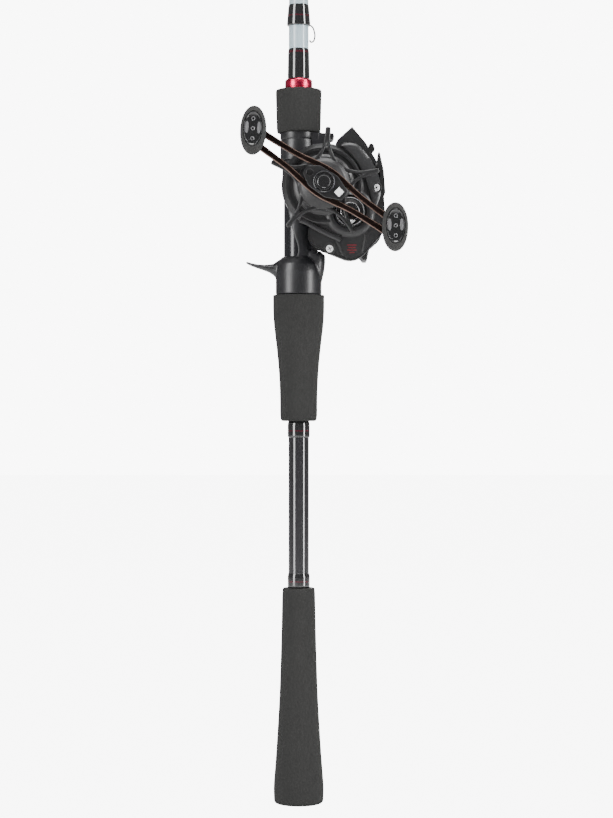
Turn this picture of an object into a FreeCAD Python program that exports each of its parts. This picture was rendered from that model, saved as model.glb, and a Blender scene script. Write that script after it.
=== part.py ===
import FreeCAD, Part
import Sketcher
import math
import os
import re

# Casting rod with a low-profile baitcasting reel, in millimetres.
# The rod's axis is +Z with the butt on the ground plane z = 0 and the tip upwards.
# The reel stands on the rod's +X side, the trigger is on -X, and the handle is towards -Y.
# Turned and flat pieces of the reel are drawn in a frame that looks along +Y: its own x is the
# row's X, its own y is the row's Z, and its own z counts outwards towards the handle, which is -Y.

Vector = FreeCAD.Vector
Rotation = FreeCAD.Rotation
Placement = FreeCAD.Placement
Constraint = Sketcher.Constraint

doc = FreeCAD.newDocument("rod_and_reel")
sheet = doc.addObject("Spreadsheet::Sheet", "sizes")

SIZES = {
    # rod
    "rod_length": 2134, "blank_radius": 5.8, "blank_front_radius": 5.65, "blank_tip_radius": 1.0,
    "blank_bore_radius": 4.5, "blank_bore_tip_radius": 1.2, "bore_length": 1500, "glue_gap": 0.05,
    "taper_start": 435,
    # grips and wraps
    "rear_grip_top": 122.8, "rear_grip_foot_radius": 14.4, "rear_grip_mid_radius": 11.2,
    "rear_grip_top_radius": 9.4, "butt_cap_radius": 9.6, "butt_cap_thickness": 4,
    "wrap_radius": 6.3, "lower_wrap_top": 130.9, "upper_wrap_base": 208.6, "mid_grip_base": 217.7,
    "mid_grip_small_radius": 10.6, "mid_grip_big_radius": 14.5, "seat_base": 289.6,
    # reel seat
    "barrel_radius": 13.0, "barrel_top": 311.5, "seat_tube_radius": 8.4, "seat_top": 402,
    "seat_wall_radius": 5.9, "foot_seat": 9.0, "foot_thickness": 2.0, "foot_half_width": 6.0,
    "rear_hood_reach": 15.2, "trigger_half_width": 4.0, "foot_base": 304, "foot_top": 372.5,
    # sliding hood, nut and fore grip
    "hood_base": 366, "hood_top": 377.6, "hood_radius": 10.4, "hood_bore_radius": 8.48,
    "nut_top": 381.6, "fore_grip_top": 406.4, "fore_grip_base_radius": 12.5,
    "fore_grip_top_radius": 13.05, "check_radius": 7.8, "check_top": 412.4, "check_bore_radius": 6.5,
    "fore_wrap_top": 429.5, "keeper_wrap_base": 442.9, "keeper_wrap_top": 454.6,
    # guides
    "guide_count": 8, "guide_first_step": 95, "guide_step_growth": 7.8, "guide_small_radius": 3.0,
    "guide_radius_growth": 0.5, "guide_ring_wire": 0.7, "guide_wire": 0.65, "guide_wrap_length": 22,
    # reel axes
    "drive_x": 14.05, "drive_z": 349.7, "spool_x": 28.65, "spool_z": 334.52,
    "worm_x": 30.0, "worm_z": 362.0,
    # reel layers, counted outwards from the middle of the spool
    "plate_inner": 12.2, "frame_outer": 14.7, "gear_plate_outer": 16.2,
    "wind_gear_low": 16.6, "wind_gear_high": 18.2, "drive_gear_low": 18.8, "drive_gear_high": 21.4,
    "cover_wall": 1.5, "cover_face": 23.9, "dome_face": 28.6, "dome_radius": 23.6,
    "star_low": 30.4, "star_high": 33.0, "arm_low": 37.6, "arm_high": 40.2, "knob_low": 43.0,
    "knob_high": 66.0, "palm_face": 25.0,
    # gears
    "gear_module": 0.39, "drive_teeth": 95, "pinion_teeth": 13, "wind_drive_teeth": 74,
    "worm_gear_teeth": 26, "wind_module": 0.4028, "tooth_gap": 0.07,
    # shafts and spool
    "drive_shaft_radius": 2.9, "spool_shaft_radius": 1.5, "running_gap": 0.06,
    "spool_flange_radius": 15.6, "spool_arbor_radius": 9.5, "spool_half_width": 11.6,
    "worm_radius": 2.6, "guide_rod_radius": 1.2,
    # handle
    "knob_x": 38.54, "knob_z": 26.19, "rail_end_radius": 5.3, "rail_hub_radius": 8.7,
    "knob_half_length": 13.5, "knob_half_width": 7.2, "knob_cap_length": 9.05, "knob_cap_width": 5.0,
    "post_radius": 1.9, "star_reach": 31.6, "star_hub_radius": 15,
    # other reel pieces
    "cap_radius": 8.3, "cap_low": 24.9, "cap_high": 29.4, "boss_radius": 6.2,
    "dial_radius": 8.5, "screw_head_radius": 2.3, "thumb_bar_half_width": 11.6,
}
for row, (alias, value) in enumerate(SIZES.items(), start=1):
    sheet.set(f"A{row}", alias)
    sheet.set(f"B{row}", str(value))
    sheet.setAlias(f"B{row}", alias)
doc.recompute()


def bound(text):
    """An expression on the sheet: each plain alias in it gets the sheet's name."""
    return re.sub(r"\b([a-z][a-z_]+)\b", r"sizes.\1", str(text))


def value(text):
    """The number that such an expression stands for."""
    return float(sheet.evalExpression(bound(text)))


# Where a piece stands: the row's own frame, or a frame of the reel about one of its axes.
ROD = ("0", "0", False)
DRIVE = ("drive_x", "drive_z", True)
SPOOL = ("spool_x", "spool_z", True)
WORM = ("worm_x", "worm_z", True)
REEL = ("0", "0", True)
KNOB_LOWER = ("drive_x + knob_x", "drive_z - knob_z", True)
KNOB_UPPER = ("drive_x - knob_x", "drive_z + knob_z", True)


def place(piece, frame, turn=None):
    """Puts a piece on one of the frames, with its place bound to the sheet."""
    x, z, outwards = frame
    rotation = Rotation(Vector(1, 0, 0), 90) if outwards else Rotation()
    if turn:
        rotation = rotation.multiply(turn)
    piece.Placement = Placement(Vector(value(x), 0, value(z)), rotation)
    piece.setExpression("Placement.Base.x", bound(x))
    piece.setExpression("Placement.Base.z", bound(z))
    return piece


def new_body(label, frame=ROD, turn=None):
    body = doc.addObject("PartDesign::Body", label)
    body.Label = label
    body.AllowCompound = True
    return place(body, frame, turn)


def new_sketch(body, role, offset="0"):
    """A sketch on one of the body's own planes, raised above it by an expression."""
    sketch = body.newObject("Sketcher::SketchObject", body.Label + "_sketch")
    plane = [item for item in body.Origin.OriginFeatures if item.Role == role][0]
    sketch.AttachmentSupport = [(plane, "")]
    sketch.MapMode = "FlatFace"
    sketch.AttachmentOffset = Placement(Vector(0, 0, value(offset)), Rotation())
    sketch.setExpression("AttachmentOffset.Base.z", bound(offset))
    return sketch


def bind(sketch, constraint, text):
    index = sketch.addConstraint(constraint)
    sketch.setExpression(f"Constraints[{index}]", bound(text))


def bind_point(sketch, edge, end, point):
    for kind, text in zip(("DistanceX", "DistanceY"), point):
        bind(sketch, Constraint(kind, -1, 1, edge, end, value(text)), text)


def polygon(sketch, points):
    """A closed outline of straight runs with both measures of each corner bound to the sheet."""
    corners = [Vector(value(x), value(y), 0) for x, y in points]
    lines = [Part.LineSegment(corners[i - 1], corners[i]) for i in range(len(corners))]
    first = sketch.addGeometry(lines)[0]
    for i, point in enumerate(points):
        following = first + (i + 1) % len(points)
        sketch.addConstraint(Constraint("Coincident", first + i, 2, following, 1))
        bind_point(sketch, first + i, 2, point)


def hull(sketch, circles):
    """A closed convex outline round circles (x, y, radius), anticlockwise: arcs and tangents."""
    sizes = [tuple(value(text) for text in circle) for circle in circles]
    normals = []
    for i, (x, y, radius) in enumerate(sizes):
        next_x, next_y, next_radius = sizes[(i + 1) % len(sizes)]
        gap = math.hypot(next_x - x, next_y - y)
        along = math.atan2(next_y - y, next_x - x)
        normals.append(along - math.pi / 2 + math.asin((radius - next_radius) / gap))
    arcs = []
    for i, (x, y, radius) in enumerate(sizes):
        start = normals[i - 1]
        end = normals[i]
        while end <= start:
            end += 2 * math.pi
        circle = Part.Circle(Vector(x, y, 0), Vector(0, 0, 1), radius)
        arcs.append(Part.ArcOfCircle(circle, start, end))
    edges = []
    for i, arc in enumerate(arcs):
        edges += [arc, Part.LineSegment(arc.EndPoint, arcs[(i + 1) % len(arcs)].StartPoint)]
    first = sketch.addGeometry(edges)[0]
    for i, (x, y, radius) in enumerate(circles):
        arc = first + 2 * i
        following = first + (2 * i + 2) % len(edges)
        sketch.addConstraint(Constraint("Tangent", arc, 2, arc + 1, 1))
        sketch.addConstraint(Constraint("Tangent", arc + 1, 2, following, 1))
        bind(sketch, Constraint("Radius", arc, value(radius)), radius)
        bind_point(sketch, arc, 3, (x, y))


def circle(sketch, x, y, radius):
    centre = Vector(value(x), value(y), 0)
    edge = sketch.addGeometry(Part.Circle(centre, Vector(0, 0, 1), value(radius)))
    bind(sketch, Constraint("Radius", edge, value(radius)), radius)
    bind_point(sketch, edge, 3, (x, y))


def draw(sketch, outline):
    """Adds one outline: a list of corners (x, y), of rounded corners (x, y, radius), or a circle."""
    if isinstance(outline[0], (list, tuple)):
        shape = hull if len(outline[0]) == 3 else polygon
        shape(sketch, outline)
    else:
        circle(sketch, *outline)


def feature(body, kind, sketch, length):
    made = body.newObject("PartDesign::" + kind, f"{body.Label}_{kind.lower()}")
    made.Profile = sketch
    made.setExpression("Length", bound(length))
    return made


def pad(body, outlines, low, high, role="XY_Plane"):
    """A flat piece between two levels; outlines after the first are holes in it."""
    sketch = new_sketch(body, role, low)
    for outline in outlines:
        draw(sketch, outline)
    made = feature(body, "Pad", sketch, f"{high} - ({low})")
    doc.recompute()
    return made


def pocket(body, outlines, low, high, role="XY_Plane"):
    """Takes the outlines away between two levels, and makes sure that something was taken."""
    before = body.Shape.Volume
    sketch = new_sketch(body, role, low)
    for outline in outlines:
        draw(sketch, outline)
    made = feature(body, "Pocket", sketch, f"{high} - ({low})")
    made.Reversed = True
    doc.recompute()
    if body.Shape.Volume >= before - 1e-6:
        raise RuntimeError(f"a pocket of {body.Label} cuts nothing")
    return made


def turned_feature(body, kind, profile):
    before = body.Shape.Volume if body.Tip else 0
    sketch = new_sketch(body, "XZ_Plane")
    polygon(sketch, profile)
    made = body.newObject("PartDesign::" + kind, f"{body.Label}_{kind.lower()}")
    made.Profile = sketch
    made.ReferenceAxis = (sketch, ["V_Axis"])
    made.Angle = 360
    doc.recompute()
    if abs(body.Shape.Volume - before) < 1e-6:
        raise RuntimeError(f"{made.Label} of {body.Label} changes nothing")
    return made


def turned(label, profile, frame=ROD):
    """A lathe-turned piece from its profile of (radius, height) corners."""
    body = new_body(label, frame)
    turned_feature(body, "Revolution", profile)
    return body


def tube(label, inner, outer, low, high, frame=ROD):
    return turned(label, [(inner, low), (outer, low), (outer, high), (inner, high)], frame)


def plate(label, outlines, low, high, frame=REEL, turn=None, role="XY_Plane"):
    body = new_body(label, frame, turn)
    pad(body, outlines, low, high, role)
    return body


def combine(label, whole, extra=(), cuts=()):
    """Joins bodies to the first one and cuts others from it."""
    whole.Label = label + "_solid"
    if extra:
        joined = doc.addObject("Part::MultiFuse", f"{label}_joined")
        joined.Shapes = [whole, *extra]
        whole = joined
    for tool in cuts:
        cut = doc.addObject("Part::Cut", f"{label}_cut")
        cut.Base = whole
        cut.Tool = tool
        whole = cut
    doc.recompute()
    whole.Label = label
    return whole


def group(label, pieces):
    """Several separate solids that are kept together in one node."""
    made = doc.addObject("Part::Compound", label)
    made.Label = label
    made.Links = pieces
    return made


def solid(label, shape):
    """A piece whose shape is worked out with Part's own functions."""
    made = doc.addObject("Part::Feature", label)
    made.Label = label
    made.Shape = shape
    return made


# ---------------------------------------------------------------- rod: blank, grips and wraps

turned("blank", [
    ("blank_bore_radius", "butt_cap_thickness"), ("blank_radius", "butt_cap_thickness"),
    ("blank_radius", "seat_base"), ("blank_front_radius", "taper_start"),
    ("blank_tip_radius", "rod_length - 5"), ("0", "rod_length - 5"), ("0", "bore_length"),
    ("blank_bore_tip_radius", "bore_length"),
])
BORE = "blank_radius + glue_gap"
turned("butt_cap", [
    ("0", "0"), ("butt_cap_radius", "0"), ("butt_cap_radius", "butt_cap_thickness"),
    ("0", "butt_cap_thickness"),
])
turned("rear_grip", [
    ("butt_cap_radius + glue_gap", "0"), ("rear_grip_foot_radius - 1.6", "0"),
    ("rear_grip_foot_radius", "2.5"), ("rear_grip_foot_radius - 0.3", "10"),
    ("rear_grip_foot_radius - 2.4", "42"), ("rear_grip_mid_radius - 0.3", "61"),
    ("rear_grip_top_radius + 0.5", "93"), ("rear_grip_top_radius", "rear_grip_top"),
    (BORE, "rear_grip_top"), (BORE, "butt_cap_thickness"),
    ("butt_cap_radius + glue_gap", "butt_cap_thickness"),
])
group("handle_wraps", [
    tube("lower_wrap", BORE, "wrap_radius", "rear_grip_top", "lower_wrap_top"),
    tube("upper_wrap", BORE, "wrap_radius", "upper_wrap_base", "mid_grip_base"),
])
turned("mid_grip", [
    (BORE, "mid_grip_base"), ("mid_grip_small_radius - 1.5", "mid_grip_base"),
    ("mid_grip_small_radius", "mid_grip_base + 1.5"), ("mid_grip_small_radius", "236"),
    ("mid_grip_small_radius + 1.9", "259"), ("mid_grip_big_radius", "276"),
    ("mid_grip_big_radius", "seat_base"), (BORE, "seat_base"),
])
FRONT_BORE = "blank_radius + glue_gap * 2"
tube("fore_wrap", FRONT_BORE, "wrap_radius", "check_top", "fore_wrap_top")
turned("keeper_wrap", [
    (FRONT_BORE, "keeper_wrap_base"), ("wrap_radius + 0.4", "keeper_wrap_base + 1.5"),
    ("wrap_radius", "keeper_wrap_top"), (FRONT_BORE, "keeper_wrap_top"),
])


# ---------------------------------------------------------------- rod: reel seat and its hood

def reel_seat():
    """Barrel, trigger, threaded tube, foot bed and fixed rear hood, moulded as one piece."""
    body = new_body("reel_seat")
    turned_feature(body, "Revolution", [
        ("seat_wall_radius", "seat_base"), ("barrel_radius", "seat_base"),
        ("barrel_radius", "barrel_top - 6"), ("barrel_radius - 1.2", "barrel_top"),
        ("seat_tube_radius", "barrel_top + 4.5"), ("seat_tube_radius", "seat_top"),
        ("seat_wall_radius", "seat_top"),
    ])
    bed = [("6.5", "barrel_top"), ("foot_seat", "barrel_top"), ("foot_seat", "hood_base - 7"),
           ("6.5", "hood_base - 7")]
    pad(body, [bed], "-foot_half_width", "foot_half_width", "XZ_Plane")
    hood = [("7", "seat_base + 5"), ("barrel_radius", "seat_base + 5"),
            ("rear_hood_reach", "seat_base + 17"), ("rear_hood_reach", "barrel_top + 1.5"),
            ("foot_seat + 3.2", "barrel_top + 4.5"), ("7", "barrel_top + 4.5")]
    pad(body, [hood], "-foot_half_width - 2.5", "foot_half_width + 2.5", "XZ_Plane")
    trigger = [("-7", "seat_base + 2"), ("-7", "barrel_top + 3"), ("-10.7", "309.8"),
               ("-13.5", "307.8"), ("-17.5", "306.8"), ("-23.2", "307.1"), ("-29.6", "308.7"),
               ("-30.3", "308"), ("-29.5", "306.9"), ("-24.9", "305.2"), ("-19.2", "303.5"),
               ("-15.8", "301.8"), ("-13.5", "299.8"), ("-12.7", "297")]
    pad(body, [trigger], "-trigger_half_width", "trigger_half_width", "XZ_Plane")
    slot = [("foot_seat", "foot_base - 0.4"), ("foot_seat + foot_thickness + 0.3", "foot_base - 0.4"),
            ("foot_seat + foot_thickness + 0.3", "barrel_top + 6"), ("foot_seat", "barrel_top + 6")]
    pocket(body, [slot], "-foot_half_width - 0.3", "foot_half_width + 0.3", "XZ_Plane")
    bore = tube("seat_bore", "0", "seat_wall_radius", "seat_base - 1", "seat_top + 1")
    return combine("reel_seat", body, cuts=[bore])


def sliding_hood():
    """The ring that rides on the threaded tube, with the cup that holds the foot's front tip."""
    body = new_body("sliding_hood")
    turned_feature(body, "Revolution", [
        ("hood_bore_radius", "hood_base"), ("hood_radius", "hood_base"),
        ("hood_radius", "hood_top"), ("hood_bore_radius", "hood_top"),
    ])
    cup = [("7.5", "hood_base - 3"), ("13.6", "hood_base - 3"), ("14.6", "hood_base"),
           ("14.6", "hood_top - 1"), ("19.5", "hood_top + 0.2"), ("20.2", "hood_top + 1.6"),
           ("19.6", "hood_top + 3.2"), ("11.2", "hood_top + 3.4"), ("11.2", "hood_top"),
           ("7.5", "hood_top")]
    pad(body, [cup], "-foot_half_width - 2.2", "foot_half_width + 2.2", "XZ_Plane")
    slot = [("foot_seat - 0.1", "hood_base - 6"), ("foot_seat + foot_thickness + 0.3", "hood_base - 6"),
            ("foot_seat + foot_thickness + 0.3", "foot_top + 0.6"), ("foot_seat - 0.1", "foot_top + 0.6")]
    pocket(body, [slot], "-foot_half_width - 0.3", "foot_half_width + 0.3", "XZ_Plane")
    bore = tube("hood_bore", "0", "hood_bore_radius", "hood_base - 10", "hood_top + 10")
    return combine("sliding_hood", body, cuts=[bore])


reel_seat()
sliding_hood()
turned("lock_nut", [
    ("hood_bore_radius", "hood_top"), ("hood_radius - 0.3", "hood_top"),
    ("hood_radius + 0.1", "hood_top + 1"), ("hood_radius + 0.1", "nut_top"),
    ("hood_bore_radius", "nut_top"),
])
turned("fore_grip", [
    ("hood_bore_radius", "nut_top"), ("fore_grip_base_radius - 1.2", "nut_top"),
    ("fore_grip_base_radius", "nut_top + 1.2"), ("fore_grip_top_radius", "fore_grip_top - 1.2"),
    ("fore_grip_top_radius - 1.2", "fore_grip_top"), ("check_bore_radius", "fore_grip_top"),
    ("check_bore_radius", "seat_top + 0.6"), ("hood_bore_radius", "seat_top + 0.6"),
])
turned("winding_check", [
    ("check_bore_radius", "fore_grip_top"), ("check_radius", "fore_grip_top"),
    ("check_radius", "check_top - 1.4"), ("check_radius - 0.9", "check_top"),
    ("check_bore_radius", "check_top"),
])


# ---------------------------------------------------------------- rod: hook keeper and guides

def strut(start, end, radius):
    """A round wire between two points."""
    run = end - start
    return Part.makeCylinder(radius, run.Length, start, run)


def wire_path(points, radius):
    """A bent round wire with a ball at each bend."""
    shape = strut(points[0], points[1], radius)
    for start, end in zip(points[1:], points[2:]):
        shape = shape.fuse([Part.makeSphere(radius, start), strut(start, end, radius)])
    return shape.removeSplitter()


def blank_radius_at(height):
    """The blank's outer radius above the taper's start."""
    share = (height - value("taper_start")) / (value("rod_length - 5") - value("taper_start"))
    return value("blank_front_radius") * (1 - share) + value("blank_tip_radius") * share


KEEPER_X = value("wrap_radius") + 0.9
solid("hook_keeper", wire_path([
    Vector(KEEPER_X - 0.6, 0, value("keeper_wrap_base") + 0.6), Vector(KEEPER_X, 0, 441.5),
    Vector(KEEPER_X + 1.7, 0, 438.6), Vector(KEEPER_X + 1.9, 0, 435.6), Vector(KEEPER_X + 0.6, 0, 433.6),
], 0.45).cut(doc.getObject("keeper_wrap").Shape))


def guide(index):
    """One guide, counted from the tip: its wire frame, its ring and the wrap over its foot."""
    number = index + 1
    height = value("rod_length") - value("guide_first_step") * number
    height -= value("guide_step_growth") * number ** 2
    ring_radius = value("guide_small_radius") + value("guide_radius_growth") * index
    wire = value("guide_ring_wire")
    leg = value("guide_wire")
    surface = blank_radius_at(height)
    ring_centre = Vector(surface + 2.2 * ring_radius + 3, 0, height)
    ring = Part.makeTorus(ring_radius, wire, ring_centre, Vector(0, 0, 1))
    inner = ring_radius + wire + 0.03
    outer = inner + 0.9
    holder = Part.makeCylinder(outer, 1.3, ring_centre - Vector(0, 0, 0.65))
    holder = holder.cut(Part.makeCylinder(inner, 1.4, ring_centre - Vector(0, 0, 0.7)))
    foot_end = height - 2.4 * ring_radius - 4
    foot_length = value("guide_wrap_length") * 0.6
    foot_x = blank_radius_at(foot_end - foot_length) + value("glue_gap")
    foot = Part.makeBox(1.1, 2.4, foot_length, Vector(foot_x, -1.2, foot_end - foot_length))
    frame = holder.fuse(foot)
    for side in (-1, 1):
        rim = ring_centre + Vector(-0.55 * outer, side * 0.8 * outer, 0)
        heel = Vector(foot_x + 0.6, side * 0.55, foot_end - 0.8)
        frame = frame.fuse(strut(heel, rim, leg))
    bore_out = Part.makeCylinder(inner, 8, ring_centre - Vector(0, 0, 4))
    frame = frame.cut(bore_out).removeSplitter()
    wrap_base = foot_end - foot_length - 3
    wrap_length = value("guide_wrap_length") * 0.72
    wrap_bore = blank_radius_at(wrap_base) + value("glue_gap")
    wrap = Part.makeCylinder(wrap_bore + 1.45, wrap_length, Vector(0, 0, wrap_base))
    wrap = wrap.cut(Part.makeCylinder(wrap_bore, wrap_length, Vector(0, 0, wrap_base))).cut(frame)
    return frame, ring, wrap


def tip_top():
    """The tube over the blank's end, with the last ring on its two legs."""
    top = value("rod_length")
    radius = blank_radius_at(top - 16) + value("glue_gap")
    sleeve = Part.makeCylinder(radius + 0.5, 14, Vector(0, 0, top - 16))
    ring_radius = value("guide_small_radius")
    wire = value("guide_ring_wire")
    centre = Vector(5.6, 0, top - 0.7)
    inner = ring_radius + wire + 0.03
    ring = Part.makeTorus(ring_radius, wire, centre, Vector(0, 0, 1))
    frame = Part.makeCylinder(inner + 0.9, 1.3, centre - Vector(0, 0, 0.65))
    frame = frame.cut(Part.makeCylinder(inner, 1.4, centre - Vector(0, 0, 0.7)))
    frame = frame.fuse(sleeve)
    for side in (-1, 1):
        rim = centre + Vector(-0.55 * inner - 0.5, side * 0.8 * inner + side * 0.4, 0)
        frame = frame.fuse(strut(Vector(1.2, side * 0.4, top - 12), rim, 0.6))
    bore_out = Part.makeCylinder(inner, 8, centre - Vector(0, 0, 4))
    frame = frame.cut(Part.makeCylinder(radius, 11, Vector(0, 0, top - 16)))
    return frame.cut(bore_out).removeSplitter(), ring


guides = [guide(index) for index in range(int(value("guide_count")))]
tip_frame, tip_ring = tip_top()
solid("guide_frames", Part.Compound([frame for frame, ring, wrap in guides]))
solid("guide_rings", Part.Compound([ring for frame, ring, wrap in guides] + [tip_ring]))
solid("guide_wraps", Part.Compound([wrap for frame, ring, wrap in guides]))
solid("tip_top", tip_frame)


# ---------------------------------------------------------------- reel: fixed pieces

def about(frame, outline, grow="0"):
    """An outline given in the row's X and Z, drawn about one of the reel's axes and grown."""
    x0, z0, outwards = frame
    return [(f"{x} - ({x0})", f"{z} - ({z0})", f"{radius} + ({grow})") for x, z, radius in outline]


COVER_LOBE = [(14.5, 322.5, 9.2), (28.7, 318.7, 11), (40.5, 324, 5.8), (41.5, 348, 6.3),
              (37, 362.5, 3), (29.5, 372, 2.4), (20, 366, 6)]
FRAME_LOBE = [(16.5, 324, 6.5), (28.65, 322, 9.5), (38, 326, 6.5), (38.5, 350, 7), (33, 368, 3.5),
              (25, 369, 3.5), (19, 362, 5)]
PALM_FRAME_LOBE = [(16.5, 322, 7.5), (28.65, 321, 10.5), (39.5, 326, 8), (40, 345, 8.5),
                   (34, 366, 4), (25, 368, 4), (19, 360, 7)]
PALM_LOBE = [("spool_x", "spool_z", 21.3), (44.8, 362, 3.5), (33, 367, 4.5), (22, 364, 5)]
PALM_FIN = [(46.8, 350, 3.2), (47.9, 362, 1.2), (46.3, 372.2, 0.6), (45.2, 362, 1)]
SCREWS = [(17.4, 314.2), (43.5, 348.2)]
PILLARS = [(15.5, 320, 2), (42.3, 352, 2), (21.5, 366, 2)]
FOOT = [("foot_seat", "foot_base + 4"), ("foot_seat", "foot_base"),
        ("foot_seat + 1.2", "foot_base"), ("foot_seat + foot_thickness", "foot_base + 4"),
        ("foot_seat + foot_thickness", "foot_top - 4"), ("foot_seat + 1.2", "foot_top"),
        ("foot_seat", "foot_top")]


def drilled(body, places, radius, low, high):
    """Round holes through a reel piece that stands in the REEL frame."""
    pocket(body, [(x, z, radius) for x, z in places], low, high)


def reel_frame():
    """Two side plates on a bridge, three pillars and the foot that the seat holds."""
    body = new_body("reel_frame", REEL)
    pad(body, [FRAME_LOBE], "plate_inner", "frame_outer")
    pad(body, [PALM_FRAME_LOBE], "-frame_outer", "-plate_inner")
    bridge = [(11, 324), (12.6, 324), (12.6, 362), (11, 362)]
    pad(body, [bridge], "-frame_outer", "frame_outer")
    for pillar in PILLARS:
        pad(body, [pillar], "-frame_outer + 1", "frame_outer - 1")
    pad(body, [FOOT[::-1]], "-foot_half_width", "foot_half_width")
    pocket(body, [("spool_x", "spool_z", 9)], "plate_inner - 1", "frame_outer + 1")
    pocket(body, [("spool_x", "spool_z", "spool_flange_radius + 0.5")],
           "-frame_outer - 1", "-plate_inner + 1")
    drilled(body, [("worm_x", "worm_z")], "1.5 + running_gap", "-frame_outer - 1", "frame_outer + 1")
    drilled(body, [(37, 361.5)], "guide_rod_radius + 0.02", "-frame_outer - 1", "frame_outer + 1")
    return body


def gear_plate():
    """The flat plate that carries the gears, with its shaft and pinion bearings let in."""
    lobe = plate("gear_plate_lobe", [COVER_LOBE], "frame_outer", "gear_plate_outer")
    disc = tube("gear_plate_disc", "0", "dome_radius", "frame_outer", "gear_plate_outer", DRIVE)
    holes = new_body("gear_plate_holes", REEL)
    for x, z, radius in (("drive_x", "drive_z", "5.05"), ("spool_x", "spool_z", "4.55"),
                         ("worm_x", "worm_z", "1.6")):
        pad(holes, [(x, z, radius)], "frame_outer - 1", "gear_plate_outer + 1")
    for x, z in SCREWS:
        pad(holes, [(x, z, "1.3")], "frame_outer - 1", "gear_plate_outer + 1")
    return combine("gear_plate", lobe, [disc], [holes])


def gear_side_cover():
    """The stepped dome over the drive gear, run into a lobe with the cast control's boss."""
    lobe = plate("cover_lobe", [COVER_LOBE], "gear_plate_outer", "cover_face - 1")
    step = [(x, z, radius - 1.1) for x, z, radius in COVER_LOBE]
    pad(lobe, [step], "cover_face - 1.5", "cover_face")
    dome = turned("cover_dome", [
        ("0", "gear_plate_outer"), ("dome_radius", "gear_plate_outer"), ("dome_radius", "22.6"),
        ("dome_radius - 2.6", "25.2"), ("dome_radius - 4.2", "25.2"), ("dome_radius - 4.2", "24.4"),
        ("dome_radius - 6.6", "24.4"), ("dome_radius - 6.6", "26.2"), ("dome_radius - 9", "27.6"),
        ("9", "dome_face"), ("0", "dome_face"),
    ], DRIVE)
    boss = turned("cover_boss", [
        ("0", "gear_plate_outer"), ("14", "gear_plate_outer"), ("14", "cover_face"),
        ("13", "cover_face + 1"), ("11.2", "cover_face + 1.5"), ("9.4", "cover_face + 1.5"),
        ("8.9", "cover_face + 0.5"), ("boss_radius", "cover_face + 0.5"),
        ("boss_radius", "cap_high - 1.6"), ("0", "cap_high - 1.6"),
    ], SPOOL)
    hollow = plate("cover_hollow", [about(REEL, COVER_LOBE, "-cover_wall")],
                   "gear_plate_outer - 1", "cover_face - cover_wall")
    dome_hollow = turned("dome_hollow", [
        ("0", "gear_plate_outer - 1"), ("dome_radius - 1.5", "gear_plate_outer - 1"),
        ("dome_radius - 1.5", "21.9"), ("dome_radius - 4", "22.9"), ("11.8", "22.9"), ("11.8", "24.6"),
        ("7.05", "24.6"), ("7.05", "28"), ("3.3", "28"), ("3.3", "dome_face + 1"),
        ("0", "dome_face + 1"),
    ], DRIVE)
    boss_hollow = turned("boss_hollow", [
        ("0", "gear_plate_outer - 1"), ("4.55", "gear_plate_outer - 1"), ("4.55", "24.8"),
        ("2", "24.8"), ("2", "cap_high"), ("0", "cap_high"),
    ], SPOOL)
    cap_recess = turned("cap_recess", [
        ("boss_radius", "cover_face + 0.5"), ("8.9", "cover_face + 0.5"),
        ("9.4", "cover_face + 1.5"), ("9.9", "dome_face + 1"), ("boss_radius", "dome_face + 1"),
    ], SPOOL)
    holes = new_body("cover_holes", REEL)
    for x, z in SCREWS:
        pad(holes, [(x, z, "screw_head_radius + 0.35")], "cover_face - 1", "cover_face + 3")
        pad(holes, [(x, z, "1.3")], "gear_plate_outer - 1", "cover_face")
    return combine("gear_side_cover", lobe, [dome, boss],
                   [hollow, dome_hollow, boss_hollow, cap_recess, holes])


def palm_side_cover():
    """The shell on the palm side with its thin front fin and the spool bearing's boss."""
    body = plate("palm_lobe", [PALM_LOBE], "-palm_face + 1.2", "-frame_outer")
    pad(body, [about(REEL, PALM_LOBE, "-1.3")], "-palm_face", "-palm_face + 1.4")
    fin = plate("palm_fin", [PALM_FIN], "-palm_face + 2", "-frame_outer")
    hollow = plate("palm_hollow", [about(REEL, PALM_LOBE, "-cover_wall")],
                   "-palm_face + cover_wall", "-frame_outer + 1")
    boss = tube("palm_boss", "4.55", "6.4", "-palm_face + 1", "-18.6", SPOOL)
    stem = tube("palm_stem_hole", "0", "2.15", "-palm_face - 1", "-palm_face + 3", SPOOL)
    shell = combine("palm_shell", body, [fin], [hollow])
    return combine("palm_side_cover", shell, [boss], [stem])


def front_hood():
    """The peaked hood over the level wind, open in front for the line."""
    skin = [(44.6, 363.7), (41.2, 369.4), (37.8, 375), (30.2, 384), (22, 376.7), (20.9, 374.4),
            (20.9, 371), (22.1, 371), (22.1, 374.2), (22.9, 375.9), (30.1, 382.2), (36.8, 374.3),
            (40.2, 368.8), (43.5, 363.1)]
    side = skin[:6] + [(20.9, 371), (36, 367), (43.5, 363.1)]
    body = plate("front_hood", [skin], "-plate_inner + 0.1", "plate_inner - 0.1")
    pad(body, [side], "plate_inner - 1.3", "plate_inner - 0.1")
    pad(body, [side], "-plate_inner + 0.1", "-plate_inner + 1.3")
    nub = [(39.6, 370, 1.2), (41.9, 372.6, 1.4), (41.3, 374.2, 1.4)]
    pad(body, [nub], "-3", "3")
    mouth = [(26.5, 390), (26.5, 376), (34, 376), (34, 390)]
    pocket(body, [mouth], "-9.6", "9.6")
    return body


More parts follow.
